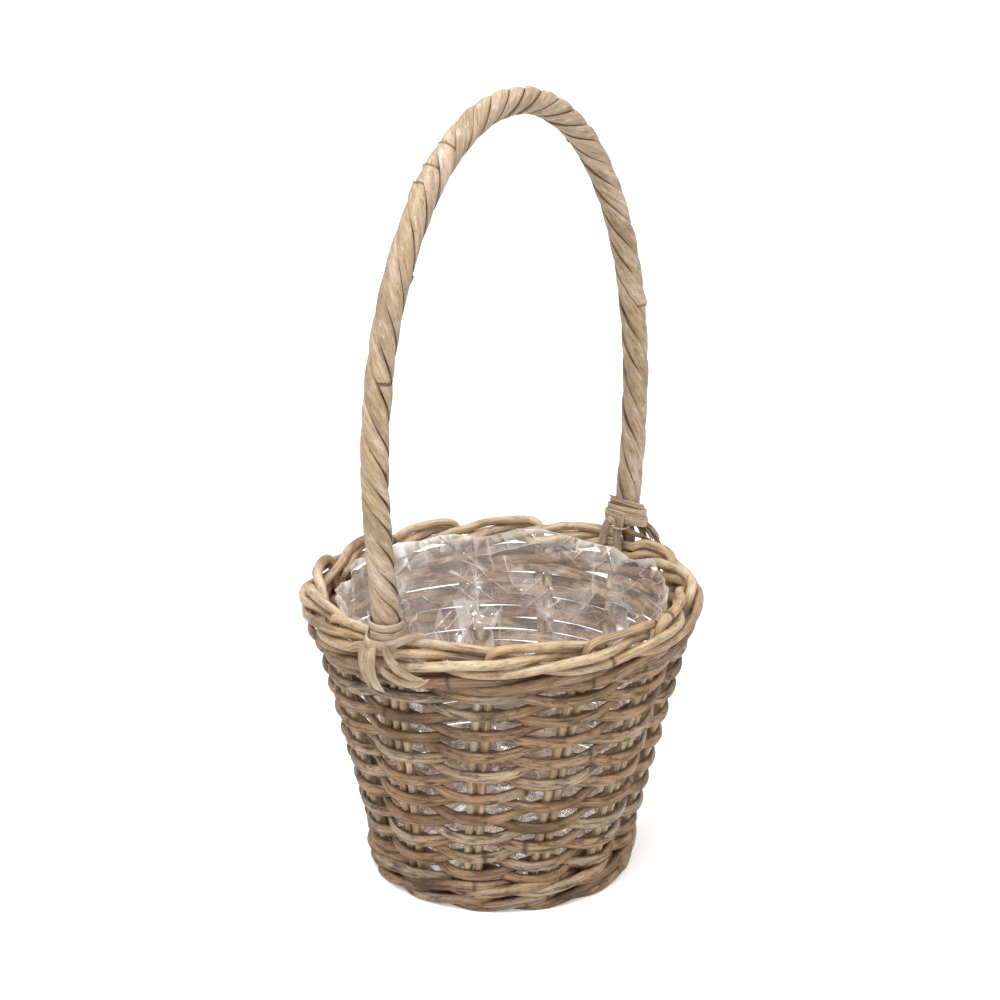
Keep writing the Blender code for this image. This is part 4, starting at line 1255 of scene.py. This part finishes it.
def make_lights():
    """Soft studio light: a pale surround, and a key lamp from the upper left of the picture."""
    world = bpy.data.worlds.new("studio")
    bpy.context.scene.world = world
    world.use_nodes = True
    tree = world.node_tree
    ground = tree.nodes["Background"]
    ground.inputs["Color"].default_value = (1, 1, 1, 1)
    path = add(tree, "ShaderNodeLightPath").outputs
    seen = add(tree, "ShaderNodeMath", {0: path["Is Camera Ray"], 1: path["Is Transmission Ray"]},
               operation="MAXIMUM")
    seen = add(tree, "ShaderNodeMath", {0: seen.outputs[0], 1: path["Is Glossy Ray"]}, operation="MAXIMUM")
    level = add(tree, "ShaderNodeMapRange", {0: seen.outputs[0], 3: WORLD_LIGHT, 4: 1.0})
    tree.links.new(level.outputs[0], ground.inputs["Strength"])
    aim = Vector((0, 0, CAMERA_AIM_HEIGHT))
    for name, azimuth, elevation, distance, size, power in LAMPS:
        lamp = bpy.data.lights.new(name, "AREA")
        lamp.size = size
        lamp.energy = power
        place_round(add_object(name, lamp), aim, math.radians(azimuth), math.radians(elevation), distance)


def make_camera():
    """The photograph's camera."""
    camera = bpy.data.cameras.new("camera")
    camera.lens = CAMERA_LENS
    camera.sensor_width = CAMERA_SENSOR
    camera.clip_end = 100
    aim = radial(CAMERA_AZIMUTH) * CAMERA_AIM_SIDE + UP * CAMERA_AIM_HEIGHT
    body = add_object("camera", camera)
    place_round(body, aim, CAMERA_AZIMUTH, CAMERA_ELEVATION, CAMERA_DISTANCE)
    bpy.context.scene.camera = body


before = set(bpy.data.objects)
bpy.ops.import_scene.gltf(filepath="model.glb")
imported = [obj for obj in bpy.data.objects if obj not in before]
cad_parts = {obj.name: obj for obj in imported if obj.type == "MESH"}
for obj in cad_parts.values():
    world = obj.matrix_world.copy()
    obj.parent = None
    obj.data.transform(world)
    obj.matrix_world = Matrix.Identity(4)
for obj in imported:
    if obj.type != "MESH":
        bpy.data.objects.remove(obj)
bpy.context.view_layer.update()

# Stake rods: whole core cane, washed pale, honey-coloured where the skin is left
STAKE_CANE = cane_material("rattan core rod, washed", ("8F7658", "B3936D", "B9A183", "C3AC8D", "C9B699"),
                           "5A4530", 0.6, (0.36, 0.62), coat=0.18, grain_share=0.24, speck_share=0.5)
# Weavers: split cane, weathered grey-brown, with painted shade darkening the edges of each strand where it
# meets the next
WEAVER_CANE = cane_material("split rattan, grey washed", ("644930", "896B4D", "A08160", "A38C76", "B59D81"),
                            "3F2E1D", 0.88, (0.45, 0.8), edge_tone_and_shade="3F2C1B", edge_share=0.8,
                            grain_share=0.36)
WALE_CANE = cane_material("rattan wale cane, brown", ("735A40", "94775A", "A88C6E"), "45331F", 0.75,
                          (0.45, 0.8), edge_share=0.2)
HOOP_CANE = cane_material("rattan hoop core", ("7A624A", "8F7558"), "4A3A2C", 0.6, (0.6, 0.8))
# Peel: the outer skin of the cane in flat strips, beige with a pale chalky bloom, and painted shade
# darkening the edges of each strip
PEEL = cane_material("rattan peel strip", ("9C8669", "AE9779", "B9A28A", "C1AB97"), "846C4E", 0.6,
                     (0.4, 0.7), edge_tone_and_shade="5D4630", edge_share=0.75, bloom="DCCBBD", coat=0.15,
                     speck_share=0.5, grain_share=0.22)
FILM = film_material()

make_stakes()
make_weavers()
make_wales()
make_base()
make_hoop()
make_wraps()
make_near_lashing()
make_far_lashing()
make_liner()
make_floor()
make_lights()
make_camera()
bpy.context.scene.view_settings.view_transform = "Standard"
